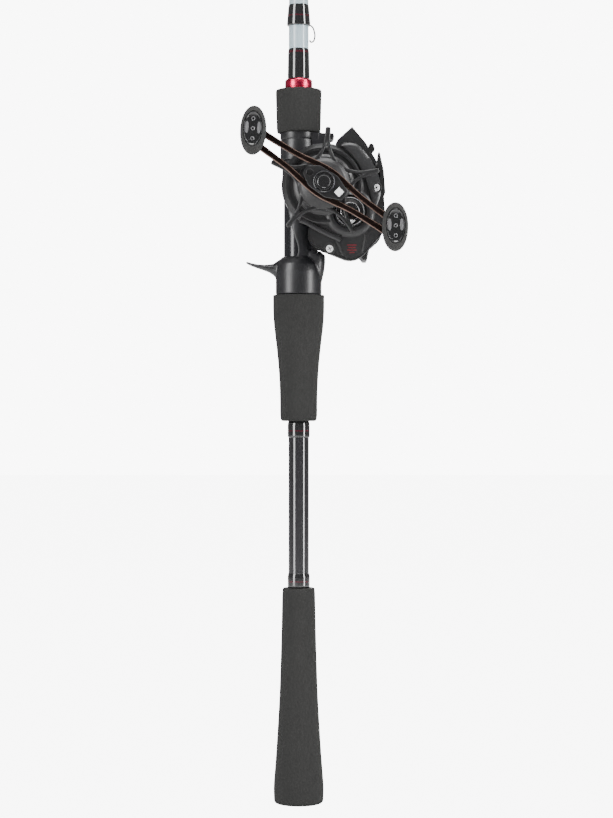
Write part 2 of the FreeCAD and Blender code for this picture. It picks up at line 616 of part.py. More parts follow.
def side_screws():
    """Two cover screws with crossed heads."""
    pieces = []
    for number, (x, z) in enumerate(SCREWS):
        screw = plate(f"side_screw_{number}", [(x, z, "screw_head_radius")],
                      "cover_face - 1", "cover_face - 0.1")
        pad(screw, [(x, z, 1.2)], "frame_outer", "cover_face - 0.9")
        for wide, tall in ((1.6, 0.3), (0.3, 1.6)):
            slot = [(x - wide, z - tall), (x + wide, z - tall), (x + wide, z + tall),
                    (x - wide, z + tall)]
            pocket(screw, [slot], "cover_face - 0.6", "cover_face + 1")
        pieces.append(screw)
    return group("side_screws", pieces)


def thumb_bar():
    body = plate("thumb_bar", [[(22, 313.2), (33, 312.8), (36.4, 308.6), (38.6, 308.6), (40, 314.6),
                                (34, 316.8), (24, 316.4)]],
                 "-thumb_bar_half_width", "thumb_bar_half_width")
    return body


reel_frame()
gear_plate()
gear_side_cover()
palm_side_cover()
front_hood()
side_screws()
thumb_bar()
SHAFT_BORE = "spool_shaft_radius + running_gap"
group("spool_bearings", [
    tube("cover_bearing", SHAFT_BORE, "4.5", "23", "24.75", SPOOL),
    tube("palm_bearing", SHAFT_BORE, "4.5", "-21", "-19", SPOOL),
    tube("pinion_bearing", "2.1 + running_gap", "4.5", "frame_outer", "gear_plate_outer", SPOOL),
])
tube("drive_shaft_bearing", "drive_shaft_radius + running_gap", "5", "frame_outer",
     "gear_plate_outer", DRIVE)
tube("one_way_clutch", "drive_shaft_radius + running_gap", "7", "24.7", "27.95", DRIVE)
plate("guide_rod", [(37, 361.5, "guide_rod_radius")], "-frame_outer", "frame_outer")


# ---------------------------------------------------------------- reel: gears

def gear(label, teeth_name, module_name, low, high, bore, frame, tooth_angle):
    """A spur gear with flat-faced flanks; one tooth points along tooth_angle."""
    teeth = int(value(teeth_name))
    module = value(module_name)
    pressure = math.radians(25)
    pitch = teeth * module / 2
    base = pitch * math.cos(pressure)
    root = pitch - 1.2 * module
    radii = [radius for radius in (root, base, pitch, pitch + 0.5 * module, pitch + module)
             if radius >= root]
    half_pitch = math.pi / (2 * teeth) - value("tooth_gap") / (2 * pitch)

    def involute(radius):
        turn = math.acos(min(1, base / radius))
        return math.tan(turn) - turn

    flank = [(radius, half_pitch + involute(pitch) - involute(radius)) for radius in radii]
    points = []
    for tooth in range(teeth):
        middle = tooth_angle + 2 * math.pi * tooth / teeth
        outline = [(radius, middle - half) for radius, half in flank]
        outline += [(radius, middle + half) for radius, half in reversed(flank)]
        points += [Vector(radius * math.cos(turn), radius * math.sin(turn), value(low))
                   for radius, turn in outline]
    wire = Part.makePolygon(points + points[:1])
    shape = Part.Face(wire).extrude(Vector(0, 0, value(high) - value(low)))
    hole = Part.makeCylinder(value(bore), 100, Vector(0, 0, -50))
    return place(solid(label, shape.cut(hole)), frame)


TO_SPOOL = math.atan2(value("spool_z - drive_z"), value("spool_x - drive_x"))
TO_WORM = math.atan2(value("worm_z - drive_z"), value("worm_x - drive_x"))
gear("drive_gear", "drive_teeth", "gear_module", "drive_gear_low", "drive_gear_high",
     "drive_shaft_radius + glue_gap", DRIVE, TO_SPOOL)
gear("wind_drive_gear", "wind_drive_teeth", "wind_module", "wind_gear_low", "wind_gear_high",
     "drive_shaft_radius + glue_gap", DRIVE, TO_WORM)
gear("worm_gear", "worm_gear_teeth", "wind_module", "wind_gear_low", "wind_gear_high",
     "1.5 + glue_gap", WORM, TO_WORM + math.pi + math.pi / value("worm_gear_teeth"))
pinion_teeth = gear("pinion_gear_teeth", "pinion_teeth", "gear_module", "drive_gear_low - 0.2",
                    "drive_gear_high + 0.2", "spool_shaft_radius + running_gap", SPOOL,
                    TO_SPOOL + math.pi + math.pi / value("pinion_teeth"))
pinion_hub = turned("pinion_hub", [
    (SHAFT_BORE, "12.7"), ("2.1", "12.7"), ("2.1", "16.9"), ("1.8", "16.9"), ("1.8", "17.9"),
    ("2.1", "17.9"), ("2.1", "drive_gear_low - 0.1"), (SHAFT_BORE, "drive_gear_low - 0.1"),
], SPOOL)
pinion_teeth.Label = "pinion_teeth_ring"
combine("pinion_gear", pinion_hub, [pinion_teeth])
plate("clutch_yoke", [[(26, 319), (31.3, 319), (31.3, 334.6), (30.55, 334.6), (30.55, 332.5),
                       (26.75, 332.5), (26.75, 334.6), (26, 334.6)]], "17", "17.8")


# ---------------------------------------------------------------- reel: spool and level wind

turned("spool", [
    ("1.55", "-11.3"), ("5", "-11.3"), ("7", "-10.7"), ("13.6", "-10.7"), ("14.4", "-spool_half_width"),
    ("spool_flange_radius", "-spool_half_width"), ("spool_flange_radius", "-10.4"),
    ("spool_arbor_radius + 1", "-9.4"), ("spool_arbor_radius", "-8.4"),
    ("spool_arbor_radius", "8.4"), ("spool_arbor_radius + 1", "9.4"),
    ("spool_flange_radius", "10.4"), ("spool_flange_radius", "spool_half_width"),
    ("14.4", "spool_half_width"), ("13.6", "10.7"), ("7", "10.7"), ("5", "11.3"), ("3", "12.3"),
    ("1.55", "12.3"),
], SPOOL)
turned("spool_shaft", [
    ("0", "-22"), ("1.2", "-22"), ("spool_shaft_radius", "-21.4"), ("spool_shaft_radius", "26"),
    ("1", "26.6"), ("0", "26.6"),
], SPOOL)
turned("worm_shaft", [
    ("0", "-14.4"), ("1.5", "-14.4"), ("1.5", "-11.9"), ("worm_radius", "-11.9"),
    ("worm_radius", "11.9"), ("1.5", "11.9"), ("1.5", "wind_gear_high"), ("0", "wind_gear_high"),
], WORM)


def line_guide():
    """The carriage on the worm and the guide rod, with the plate that holds the line's eye."""
    block = plate("line_guide_block", [[(25.8, 357.4), (39.2, 357.4), (39.2, 366), (36.6, 369),
                                        (35, 375.4), (33.8, 375.4), (33, 368), (25.8, 366)]],
                  "-3", "3")
    eye = [(25.4, 373.4), (34.6, 373.4), (34.6, 375.4), (25.4, 375.4)]
    pad(block, [eye], "-3", "3")
    drilled(block, [("worm_x", "worm_z")], "worm_radius + running_gap", "-4", "4")
    drilled(block, [(37, 361.5)], "guide_rod_radius + running_gap", "-4", "4")
    bore = place(doc.addObject("Part::Cylinder", "eye_bore"), ("29.6", "372", False))
    bore.Radius = 2.2
    bore.Height = 5
    pawl_bore = place(doc.addObject("Part::Cylinder", "pawl_bore"), ("worm_x", "357", False))
    pawl_bore.Radius = 1.1
    pawl_bore.Height = 3
    return combine("line_guide", block, [], [bore, pawl_bore])


line_guide()
tube("line_guide_insert", "1.5", "2.17", "373.2", "375.6", ("29.6", "0", False))
tube("pawl", "0", "1.05", "357.4", "359.3", ("worm_x", "0", False))


# ---------------------------------------------------------------- reel: handle, drag and knobs

turned("drive_shaft", [
    ("0", "frame_outer + 0.2"), ("drive_shaft_radius", "frame_outer + 0.2"),
    ("drive_shaft_radius", "arm_high"), ("0", "arm_high"),
], DRIVE)
washers = []
for number, radius in enumerate((11, 10.4, 11, 10.4)):
    low = f"drive_gear_high + {0.7 * number:.1f}"
    washers.append(tube(f"drag_washer_{number}", "drive_shaft_radius + glue_gap", str(radius), low,
                        f"drive_gear_high + {0.7 * number + 0.7:.1f}", DRIVE))
group("drag_washers", washers)
group("drag_springs", [
    turned("inner_spring", [("3.1", "28.8"), ("6", "29.2"), ("6", "29.5"), ("3.1", "29.1")], DRIVE),
    turned("outer_spring", [("3.1", "29.9"), ("6", "29.5"), ("6", "29.8"), ("3.1", "30.2")], DRIVE),
])
tube("star_nut", "drive_shaft_radius + running_gap", "4.8", "30.8", "32.8", DRIVE)


def star_drag():
    """A hollow hub with five wishbone arms."""
    body = new_body("star_drag", DRIVE, Rotation(Vector(0, 0, 1), 13.5))
    turned_feature(body, "Revolution", [
        ("6.3", "star_low"), ("star_hub_radius", "star_low"), ("star_hub_radius", "star_low + 0.9"),
        ("12.6", "star_high"), ("8", "35.4"), ("3.3", "35.4"), ("3.3", "33.6"), ("6.3", "33.6"),
    ])
    features = []
    for side in (-1, 1):
        leg = [(12, 4.6 * side, 1.3), (21, 0.2 * side, 0.9)]
        features.append(pad(body, [leg], "star_low", "star_high"))
    stem = [(20.5, 0, 1.2), ("star_reach - 1.1", 0, 1.1)]
    features.append(pad(body, [stem], "star_low", "star_high"))
    pattern = body.newObject("PartDesign::PolarPattern", "star_arms")
    pattern.Originals = features
    pattern.Axis = (new_sketch(body, "XY_Plane"), ["N_Axis"])
    pattern.Angle = 360
    pattern.Occurrences = 5
    body.Tip = pattern
    return body


star_drag()
HANDLE_TURN = Rotation(Vector(0, 0, 1), -math.degrees(math.atan2(value("knob_z"), value("knob_x"))))
HALF_LENGTH = math.hypot(value("knob_x"), value("knob_z"))


def handle_arm():
    """Two flat rails that part round the hub and close at each knob."""
    body = new_body("handle_arm", DRIVE, HANDLE_TURN)
    outer = [(-HALF_LENGTH, 0, "rail_end_radius"), (0, 0, "rail_hub_radius"),
             (HALF_LENGTH, 0, "rail_end_radius"), (0, 0, "rail_hub_radius")]
    pad(body, [outer], "arm_low", "arm_high")
    for slot in ([(-40.5, 0, 2.4), (-14.5, 0, 3.4)], [(14.5, 0, 3.4), (40.5, 0, 2.4)]):
        pocket(body, [slot], "arm_low - 1", "arm_high + 1")
    pocket(body, [(0, 0, "drive_shaft_radius + glue_gap")], "arm_low - 1", "arm_high + 1")
    return body


handle_arm()
turned("handle_nut", [
    ("0", "arm_high"), ("6.3", "arm_high"), ("6.3", "42.2"), ("5.4", "42.9"), ("5", "42.5"),
    ("4.6", "43.4"), ("0", "43.6"),
], DRIVE)
plate("nut_retainer", [
    [(-12.2, 0, 2.9), (0, 0, 7.7), (12.2, 0, 2.9), (0, 0, 7.7)], (0, 0, 6.4), (-9.6, 0, 1.6),
], "arm_high", "arm_high + 0.9", DRIVE, HANDLE_TURN)
plate("retainer_screw", [[(8.2, -1.9), (12, -1.9), (12, 1.9), (8.2, 1.9)]],
      "arm_high + 0.9", "arm_high + 1.9", DRIVE, HANDLE_TURN)
POST_TOP = "knob_high - 1.6"
group("knob_posts", [
    tube("post_lower", "0", "post_radius", "arm_high", POST_TOP, KNOB_LOWER),
    tube("post_upper", "0", "post_radius", "arm_high", POST_TOP, KNOB_UPPER),
])
bearings = []
for frame in (KNOB_LOWER, KNOB_UPPER):
    for low in ("knob_low + 1", "knob_high - 5"):
        bearings.append(tube("knob_bearing", "post_radius + glue_gap", "3.4", low, f"{low} + 2",
                             frame))
group("knob_bearings", bearings)
for side, frame, tilt in (("upper", KNOB_UPPER, -3.6), ("lower", KNOB_LOWER, 0)):
    turn = Rotation(Vector(0, 0, 1), tilt)
    shoulder = "knob_half_length - knob_half_width"
    oval = [(0, shoulder, "knob_half_width"), (0, f"-({shoulder})", "knob_half_width")]
    knob = plate(f"knob_{side}", [oval[::-1]], "knob_low", "knob_high", frame, turn)
    cap_shoulder = "knob_cap_length - knob_cap_width"
    cap_oval = [(0, f"-({cap_shoulder})", "knob_cap_width"), (0, cap_shoulder, "knob_cap_width")]
    recess = [(0, f"-({cap_shoulder})", "knob_cap_width + 0.1"),
              (0, cap_shoulder, "knob_cap_width + 0.1")]
    pocket(knob, [recess], "knob_high - 1.2", "knob_high + 1")
    pocket(knob, [(0, 0, 3.5)], "knob_low - 1", "knob_high")
    cap = plate(f"knob_cap_{side}", [cap_oval], "knob_high - 1.2", "knob_high - 0.3", frame, turn)
    for height in (-5, 0, 5):
        pocket(cap, [(0, height, 0.7)], "knob_high - 0.9", "knob_high + 1")


# ---------------------------------------------------------------- reel: cast control and brakes

turned("cast_control_cap", [
    ("0", "cap_high - 1.4"), ("boss_radius + 0.1", "cap_high - 1.4"),
    ("boss_radius + 0.1", "cap_low"), ("cap_radius", "cap_low"), ("cap_radius", "cap_high - 0.8"),
    ("cap_radius - 0.8", "cap_high"), ("0", "cap_high"),
], SPOOL)
turned("brake_dial", [
    ("0", "-28.2"), ("dial_radius - 0.9", "-28.2"), ("dial_radius", "-27.3"),
    ("dial_radius", "-palm_face - 0.2"), ("2", "-palm_face - 0.2"), ("2", "-23"), ("0", "-23"),
], SPOOL)
tube("magnet_ring", "6.6", "11", "-19.6", "-17.6", SPOOL)


# ---------------------------------------------------------------- check and write

NODES = (
    "blank butt_cap rear_grip handle_wraps mid_grip fore_wrap keeper_wrap hook_keeper reel_seat "
    "guide_frames guide_rings guide_wraps tip_top sliding_hood lock_nut fore_grip winding_check "
    "reel_frame gear_plate gear_side_cover palm_side_cover front_hood side_screws thumb_bar "
    "spool_bearings drive_shaft_bearing one_way_clutch guide_rod drive_gear wind_drive_gear "
    "worm_gear pinion_gear clutch_yoke spool spool_shaft worm_shaft line_guide line_guide_insert "
    "pawl drive_shaft drag_washers drag_springs star_nut star_drag handle_arm handle_nut "
    "nut_retainer retainer_screw knob_posts knob_bearings knob_upper knob_lower knob_cap_upper "
    "knob_cap_lower cast_control_cap brake_dial magnet_ring"
).split()

doc.recompute()
for item in doc.Objects:
    if "Invalid" in item.State or "Error" in item.State:
        raise RuntimeError(f"{item.Label} did not build: {item.State}")
pieces = {item.Label: item for item in doc.Objects if item.Label in NODES}
for node in NODES:
    if pieces[node].Shape.isNull() or not pieces[node].Shape.isValid():
        raise RuntimeError(f"{node} has no valid shape")
os.makedirs("parts", exist_ok=True)
for node in NODES:
    shape = pieces[node].Shape
    shape.exportStep(f"parts/{node}.step")
    print(node, len(shape.Solids), round(shape.Volume, 2))
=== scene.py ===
"""Casting rod with a low-profile baitcasting reel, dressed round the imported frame.

Sizes are in millimetres in the tables and in metres once they reach a mesh: MM turns one into the
other. The rod's axis is Z with the butt at 0, the reel is on +X, and the crank handle is towards -Y.
"""
import math

import bmesh
import bpy
from mathutils import Matrix, Vector


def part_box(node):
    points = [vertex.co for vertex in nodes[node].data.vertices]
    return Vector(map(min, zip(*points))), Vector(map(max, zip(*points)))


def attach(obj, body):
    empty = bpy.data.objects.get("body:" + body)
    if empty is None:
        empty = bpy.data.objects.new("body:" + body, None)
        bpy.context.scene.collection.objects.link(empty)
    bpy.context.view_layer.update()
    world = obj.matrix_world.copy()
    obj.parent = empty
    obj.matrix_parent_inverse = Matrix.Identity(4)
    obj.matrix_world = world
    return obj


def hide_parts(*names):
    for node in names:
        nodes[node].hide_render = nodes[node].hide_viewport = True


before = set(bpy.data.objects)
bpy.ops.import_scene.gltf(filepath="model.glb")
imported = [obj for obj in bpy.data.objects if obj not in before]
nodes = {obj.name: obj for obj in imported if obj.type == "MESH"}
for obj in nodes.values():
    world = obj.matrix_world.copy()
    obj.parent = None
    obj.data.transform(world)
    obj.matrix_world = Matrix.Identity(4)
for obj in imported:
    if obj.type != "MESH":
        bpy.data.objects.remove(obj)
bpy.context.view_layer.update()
MM = 0.001


# ---------------------------------------------------------------- shader maths

class Flow:
    """A shader socket that sums, products and masks can be written with."""

    def __init__(self, paint, socket):
        self.paint = paint
        self.socket = socket

    def _math(self, operation, *others):
        return self.paint.node("ShaderNodeMath", {"operation": operation}, [self, *others])

    def __add__(self, other):
        return self._math("ADD", other)

    def __sub__(self, other):
        return self._math("SUBTRACT", other)

    def __mul__(self, other):
        return self._math("MULTIPLY", other)

    __radd__ = __add__
    __rmul__ = __mul__

    def above(self, limit):
        return self._math("GREATER_THAN", limit)

    def below(self, limit):
        return self._math("LESS_THAN", limit)

    def clamp(self):
        return self.paint.node("ShaderNodeClamp", {}, [self])

    def wave(self):
        return self._math("SINE")


class Paint:
    """One material: its shader, and the nodes that feed it."""

    def __init__(self, name, colour, roughness, metallic=0.0, **sockets):
        self.material = bpy.data.materials.new(name)
        self.material.use_nodes = True
        self.tree = self.material.node_tree
        self.shader = self.tree.nodes["Principled BSDF"]
        self.set("Base Color", (*colour, 1))
        self.set("Roughness", roughness)
        self.set("Metallic", metallic)
        for socket, value in sockets.items():
            self.set(socket.replace("_", " ").title().replace("Ior", "IOR"), value)

    def set(self, socket, value):
        """Gives one of the shader's sockets a value or a flow."""
        if isinstance(value, Flow):
            self.tree.links.new(value.socket, self.shader.inputs[socket])
        else:
            self.shader.inputs[socket].default_value = value

    def node(self, kind, settings, inputs=(), output=0):
        """Any other node: settings first, then its inputs by place or by name."""
        made = self.tree.nodes.new(kind)
        for name, value in settings.items():
            if name == "stops":
                ramp = made.color_ramp
                for element, (place, shade) in zip(ramp.elements, value[:2]):
                    element.position = place
                    element.color = (*shade, 1)
                for place, shade in value[2:]:
                    ramp.elements.new(place).color = (*shade, 1)
            else:
                setattr(made, name, value)
        pairs = inputs.items() if isinstance(inputs, dict) else enumerate(inputs)
        for key, value in pairs:
            if isinstance(value, Flow):
                self.tree.links.new(value.socket, made.inputs[key])
            elif value is not None:
                made.inputs[key].default_value = value
        return Flow(self, made.outputs[output])

    def place(self):
        """The point on the piece in the row frame, in metres."""
        return self.node("ShaderNodeTexCoord", {}, output=3)

    def axis(self, letter):
        """One coordinate of the place, in millimetres."""
        split = self.node("ShaderNodeSeparateXYZ", {}, [self.place()], "XYZ".index(letter))
        return split * 1000.0

    def noise(self, scale, detail, stretch=None):
        """Noise with so many features to the metre; stretch squeezes it along the axes."""
        where = self.place()
        if stretch:
            where = self.node("ShaderNodeVectorMath", {"operation": "MULTIPLY"}, [where, stretch])
        return self.node("ShaderNodeTexNoise", {}, {"Vector": where, "Scale": scale, "Detail": detail})

    def cells(self, scale):
        """Rounded cells, so many to the metre."""
        return self.node("ShaderNodeTexVoronoi", {"feature": "F1"},
                         {"Vector": self.place(), "Scale": scale})

    def band(self, flow, low, high):
        """One between two levels of a flow, nought outside."""
        return flow.above(low) * flow.below(high)

    def blend(self, mask, first, second):
        """The first colour where the mask is nought and the second where it is one."""
        shades = [shade if isinstance(shade, Flow) else (*shade, 1) for shade in (first, second)]
        return self.node("ShaderNodeMix", {"data_type": "RGBA"},
                         {0: mask, 6: shades[0], 7: shades[1]}, 2)

    def bump(self, height, distance, strength):
        made = self.node("ShaderNodeBump", {},
                         {"Height": height, "Distance": distance, "Strength": strength})
        self.set("Normal", made)
        return self


def foam(name, shade):
    """Closed-cell foam: a fine open grain, slightly lighter on its high spots, where the bump rises."""
    paint = Paint(name, shade, 0.85, specular_ior_level=0.25)
    grain = paint.noise(2600, 3)
    pores = paint.cells(2100)
    patch = paint.noise(60, 2)
    lift = (grain * 0.55 + pores * 0.7 + patch * 0.3 - 0.45).clamp()
    lighter = tuple(channel * 1.7 + 0.003 for channel in shade)
    paint.set("Base Color", paint.blend(lift, shade, lighter))
    paint.set("Roughness", 0.78 + grain * 0.15)
    return paint.bump(grain * 0.6 + pores, 0.00012, 0.6).material


def satin(name, shade, roughness, metallic=0.0, grain_scale=2600, edge=2.6, coat=0.0, bump=0.00003):
    """Moulded or coated satin surface with a fine speckled grain."""
    paint = Paint(name, shade, roughness, metallic, coat_weight=coat, coat_roughness=0.25)
    grain = paint.noise(grain_scale, 2)
    smear = paint.noise(90, 3)
    lighter = tuple(min(1.0, channel * edge + 0.01) for channel in shade)
    darker = tuple(channel * 0.8 for channel in shade)
    body = paint.blend(smear, darker, shade)
    speck = ((grain - 0.58) * 5.0).clamp()
    paint.set("Base Color", paint.blend(speck * 0.5, body, lighter))
    paint.set("Roughness", smear * 0.12 + (roughness - 0.05))
    return paint.bump(grain, bump, 0.5).material


def machined(name, shade, roughness, axis="Y", pitch=0.25):
    """Turned metal with fine tool rings along an axis."""
    paint = Paint(name, shade, roughness, 1.0)
    rings = (paint.axis(axis) * (2 * math.pi / pitch)).wave()
    smear = paint.noise(240, 3)
    darker = tuple(channel * 0.7 for channel in shade)
    paint.set("Base Color", paint.blend(smear, darker, shade))
    paint.set("Roughness", roughness + smear * 0.12)
    return paint.bump(rings, 0.00001, 0.3).material


PALE_FROM = 404.0       # the height on the rod where the blank turns from black to pale


def blank_finish():
    """Clear-coated carbon: black through the handle and pale grey-blue above the fore grip."""
    paint = Paint("blank_paint", (0.02, 0.02, 0.02), 0.16, coat_weight=0.6, coat_roughness=0.05)
    height = paint.axis("Z")
    pale = height.above(PALE_FROM)
    streaks = paint.noise(300, 2, (1.0, 1.0, 0.03))
    carbon = paint.blend(streaks, (0.006, 0.006, 0.007), (0.02, 0.019, 0.021))
    painted = paint.blend(streaks, (0.30, 0.385, 0.43), (0.36, 0.45, 0.49))
    paint.set("Base Color", paint.blend(pale, carbon, painted))
    paint.set("Roughness", 0.12 + streaks * 0.08 + pale * 0.16)
    return paint.bump(paint.noise(900, 1), 0.00001, 0.2).material


def thread_wrap(name, bands):
    """Glossy epoxy over fine black thread, with turns of dark red thread at the bands."""
    paint = Paint(name, (0.01, 0.01, 0.01), 0.08, coat_weight=0.8, coat_roughness=0.03)
    height = paint.axis("Z")
    turns = (height * (2 * math.pi / 0.28)).wave() * 0.5 + 0.5
    red = None
    for middle, width in bands:
        here = paint.band(height, middle - width / 2, middle + width / 2)
        red = here if red is None else red + here
    thread = paint.blend(turns, (0.004, 0.004, 0.004), (0.013, 0.013, 0.014))
    if red is not None:
        crimson = paint.blend(turns, (0.025, 0.002, 0.005), (0.06, 0.005, 0.012))
        thread = paint.blend(red.clamp(), thread, crimson)
    paint.set("Base Color", thread)
    paint.set("Roughness", 0.06 + paint.noise(500, 1) * 0.05)
    return paint.bump(turns * 0.3 + paint.noise(260, 2), 0.00006, 0.25).material


def anodised(name, shade, roughness):
    """Coloured anodised aluminium with fine turning marks and paler smears at random."""
    paint = Paint(name, shade, roughness, 1.0)
    rings = (paint.axis("Z") * (2 * math.pi / 0.16)).wave()
    lighter = tuple(min(1.0, channel * 1.8 + 0.05) for channel in shade)
    smear = paint.noise(400, 2)
    paint.set("Base Color", paint.blend(smear, shade, lighter))
    paint.set("Roughness", smear * 0.1 + roughness)
    return paint.bump(rings, 0.00001, 0.35).material


def rail_finish():
    """Dark bronze anodising with a long brushed grain."""
    paint = Paint("rail_anodising", (0.03, 0.018, 0.014), 0.3, 0.9)
    brushed = paint.noise(900, 2, (0.1, 1.0, 1.0))
    body = paint.blend(brushed, (0.012, 0.007, 0.006), (0.03, 0.018, 0.015))
    paint.set("Base Color", body)
    paint.set("Roughness", brushed * 0.14 + 0.24)
    return paint.bump(brushed, 0.00002, 0.3).material


def woven_carbon():
    """Drag washer fibre: a plain weave."""
    paint = Paint("drag_fibre", (0.03, 0.03, 0.03), 0.5)
    over = (paint.axis("X") * 3.1).wave() * (paint.axis("Z") * 3.1).wave()
    weave = (over * 4.0 + 0.5).clamp()
    paint.set("Base Color", paint.blend(weave, (0.012, 0.012, 0.013), (0.05, 0.05, 0.052)))
    return paint.bump(weave, 0.00004, 0.6).material


FOAM = foam("grip_foam", (0.0125, 0.0125, 0.012))
KNOB_FOAM = foam("knob_rubber", (0.021, 0.021, 0.0205))
RUBBER = satin("butt_rubber", (0.012, 0.012, 0.012), 0.7, grain_scale=1800, edge=1.4)
SEAT = satin("seat_plastic", (0.009, 0.009, 0.0105), 0.36, edge=1.5)
SEAT_TUBE = satin("seat_tube_gloss", (0.008, 0.008, 0.01), 0.2, edge=1.3, bump=0.00001)
COVER = satin("cover_coating", (0.0105, 0.0105, 0.011), 0.36, edge=2.0)
# A lighter copy of the cover coating: painted highlight on the bevelled shoulder, the chin ridge and the
# edges of the panel lines.
COVER_HIGHLIGHT = satin("cover_highlight_paint", (0.026, 0.026, 0.027), 0.3, 0.2, edge=1.6)
FRAME_COAT = satin("frame_coating", (0.008, 0.008, 0.0085), 0.42, 0.2)
STAR = satin("star_coating", (0.011, 0.011, 0.0115), 0.36, 0.1, edge=2.0)
GUIDE_METAL = satin("guide_plating", (0.04, 0.04, 0.045), 0.25, 0.9, edge=2.0)
CERAMIC = satin("ring_ceramic", (0.01, 0.01, 0.012), 0.12, coat=0.6, edge=1.3, bump=0.00001)
BADGE = satin("badge_gloss", (0.005, 0.005, 0.0055), 0.12, coat=0.8, edge=1.5, bump=0.00001)
# Grey metal for the badge eyelets' rims, and for the grey patches of painted reflection on each badge.
EYELET_AND_REFLECTION_GREY = satin("eyelet_and_reflection_grey", (0.42, 0.42, 0.43), 0.3, 0.9, edge=1.2, bump=0.00001)
# Near-white non-metal standing in for polished steel: painted highlight on the retainer key, the cast
# cap's white triangle and the screw heads.
WHITE_GLINT = satin("white_glint_paint", (0.85, 0.85, 0.85), 0.25, edge=1.05, bump=0.00001)
STEEL = machined("bearing_steel", (0.55, 0.55, 0.57), 0.3)
CHROME = machined("bright_chrome", (0.9, 0.9, 0.91), 0.22, pitch=0.5)
BRASS = machined("gear_brass", (0.68, 0.47, 0.2), 0.28, pitch=0.2)
SPOOL_ALLOY = machined("spool_anodising", (0.1, 0.1, 0.11), 0.26, pitch=0.3)
RED_RING = anodised("red_anodising", (0.42, 0.008, 0.05), 0.22)
RED_MARK = satin("red_mark", (0.1, 0.006, 0.01), 0.4, edge=1.5)
BLANK = blank_finish()
HANDLE_WRAP = thread_wrap("handle_wrap_epoxy", [(126.5, 0.8), (212.2, 0.8)])
FORE_WRAP = thread_wrap("fore_wrap_epoxy", [(427.8, 1.0)])
KEEPER_WRAP = thread_wrap("keeper_wrap_epoxy", [(448.4, 0.7)])
GUIDE_WRAP = thread_wrap("guide_wrap_epoxy", [])
RAIL = rail_finish()
FIBRE = woven_carbon()
RAIL_EDGE = machined("rail_edge", (0.22, 0.15, 0.125), 0.32, "X", 0.6)
STAR_EDGE = satin("star_edge", (0.05, 0.05, 0.051), 0.3, 0.4, edge=1.5)


# ---------------------------------------------------------------- mesh tools

def add_mesh(name, points, faces, materials, crease=35.0):
    """A mesh object from points in millimetres; edges sharper than the crease angle stay crisp."""
    mesh = bpy.data.meshes.new(name)
    mesh.from_pydata([Vector(point) * MM for point in points], [], faces)
    for material in materials if isinstance(materials, (list, tuple)) else [materials]:
        mesh.materials.append(material)
    form = bmesh.new()
    form.from_mesh(mesh)
    bmesh.ops.remove_doubles(form, verts=form.verts, dist=0.002 * MM)
    bmesh.ops.recalc_face_normals(form, faces=form.faces)
    form.to_mesh(mesh)
    form.free()
    piece = bpy.data.objects.new(name, mesh)
    bpy.context.scene.collection.objects.link(piece)
    smooth(mesh, crease)
    return piece


def smooth(mesh, crease):
    mesh.polygons.foreach_set("use_smooth", [True] * len(mesh.polygons))
    mesh.set_sharp_from_angle(angle=math.radians(crease))


def rounded(points, radius, steps, closed=True):
    """An outline with each corner turned into an arc; a corner may give its own radius third."""
    made = []
    count = len(points)
    for i, corner in enumerate(points):
        own = corner[2] if len(corner) > 2 else radius
        here = Vector(corner[:2])
        if own <= 0 or (not closed and i in (0, count - 1)):
            made.append(tuple(here))
            continue
        before = Vector(points[i - 1][:2]) - here
        after = Vector(points[(i + 1) % count][:2]) - here
        reach = min(own, before.length * 0.48, after.length * 0.48)
        start = here + before.normalized() * reach
        end = here + after.normalized() * reach
        for step in range(steps + 1):
            share = step / steps
            made.append(tuple(start * (1 - share) ** 2 + here * (2 * share * (1 - share))
                              + end * share ** 2))
    return made


def spun(name, profile, material, centre=None, steps=96, crease=35.0, closed=True, flutes=None):
    """A turned piece from (radius, height): about the rod, or outwards about a reel axis (x, z).

    Flutes are (how many, how deep, from which radius outwards)."""
    points = []
    faces = []
    count = len(profile)
    number, depth, from_radius = flutes or (0, 0, 0)
    for step in range(steps):
        turn = 2 * math.pi * step / steps
        cut = depth * (0.5 + 0.5 * math.cos(number * turn))
        for radius, height in profile:
            if radius > from_radius:
                radius -= cut
            across = (radius * math.cos(turn), radius * math.sin(turn))
            if centre:
                points.append((centre[0] + across[0], -height, centre[1] + across[1]))
            else:
                points.append((across[0], across[1], height))
    for step in range(steps):
        following = (step + 1) % steps
        for i in range(count if closed else count - 1):
            j = (i + 1) % count
            faces.append((step * count + i, following * count + i, following * count + j,
                          step * count + j))
    return add_mesh(name, points, faces, material, crease)


def slab(name, outline, low, high, materials, chamfer, centre=(0, 0), turn=0.0, holes=()):
    """A flat reel piece between two outward levels, its rims chamfered with the second material."""
    mesh = bpy.data.meshes.new(name)
    form = bmesh.new()
    spin = Matrix.Rotation(math.radians(turn), 2)
    loops = []
    for ring in (outline, *holes):
        verts = []
        for point in ring:
            u, v = spin @ Vector(point[:2])
            verts.append(form.verts.new(Vector((centre[0] + u, -low, centre[1] + v)) * MM))
        loops.append([form.edges.new((verts[i - 1], verts[i])) for i in range(len(verts))])
    edges = [edge for loop in loops for edge in loop]
    bmesh.ops.triangle_fill(form, use_beauty=True, use_dissolve=False, edges=edges)
    base = list(form.faces)
    moved = bmesh.ops.extrude_face_region(form, geom=base)["geom"]
    top = [item for item in moved if isinstance(item, bmesh.types.BMVert)]
    bmesh.ops.translate(form, verts=top, vec=Vector((0, low - high, 0)) * MM)
    bmesh.ops.recalc_face_normals(form, faces=form.faces)
    rims = [edge for edge in form.edges
            if len(edge.link_faces) == 2 and edge.calc_face_angle() > math.radians(60)
            and abs(edge.verts[0].co.y - edge.verts[1].co.y) < 1e-7]
    bmesh.ops.bevel(form, geom=rims, offset=chamfer * MM, segments=1, profile=0.5,
                    affect="EDGES", material=1 if len(materials) > 1 else 0)
    form.to_mesh(mesh)
    form.free()
    for material in materials:
        mesh.materials.append(material)
    piece = bpy.data.objects.new(name, mesh)
    bpy.context.scene.collection.objects.link(piece)
    smooth(mesh, 25.0)
    return piece


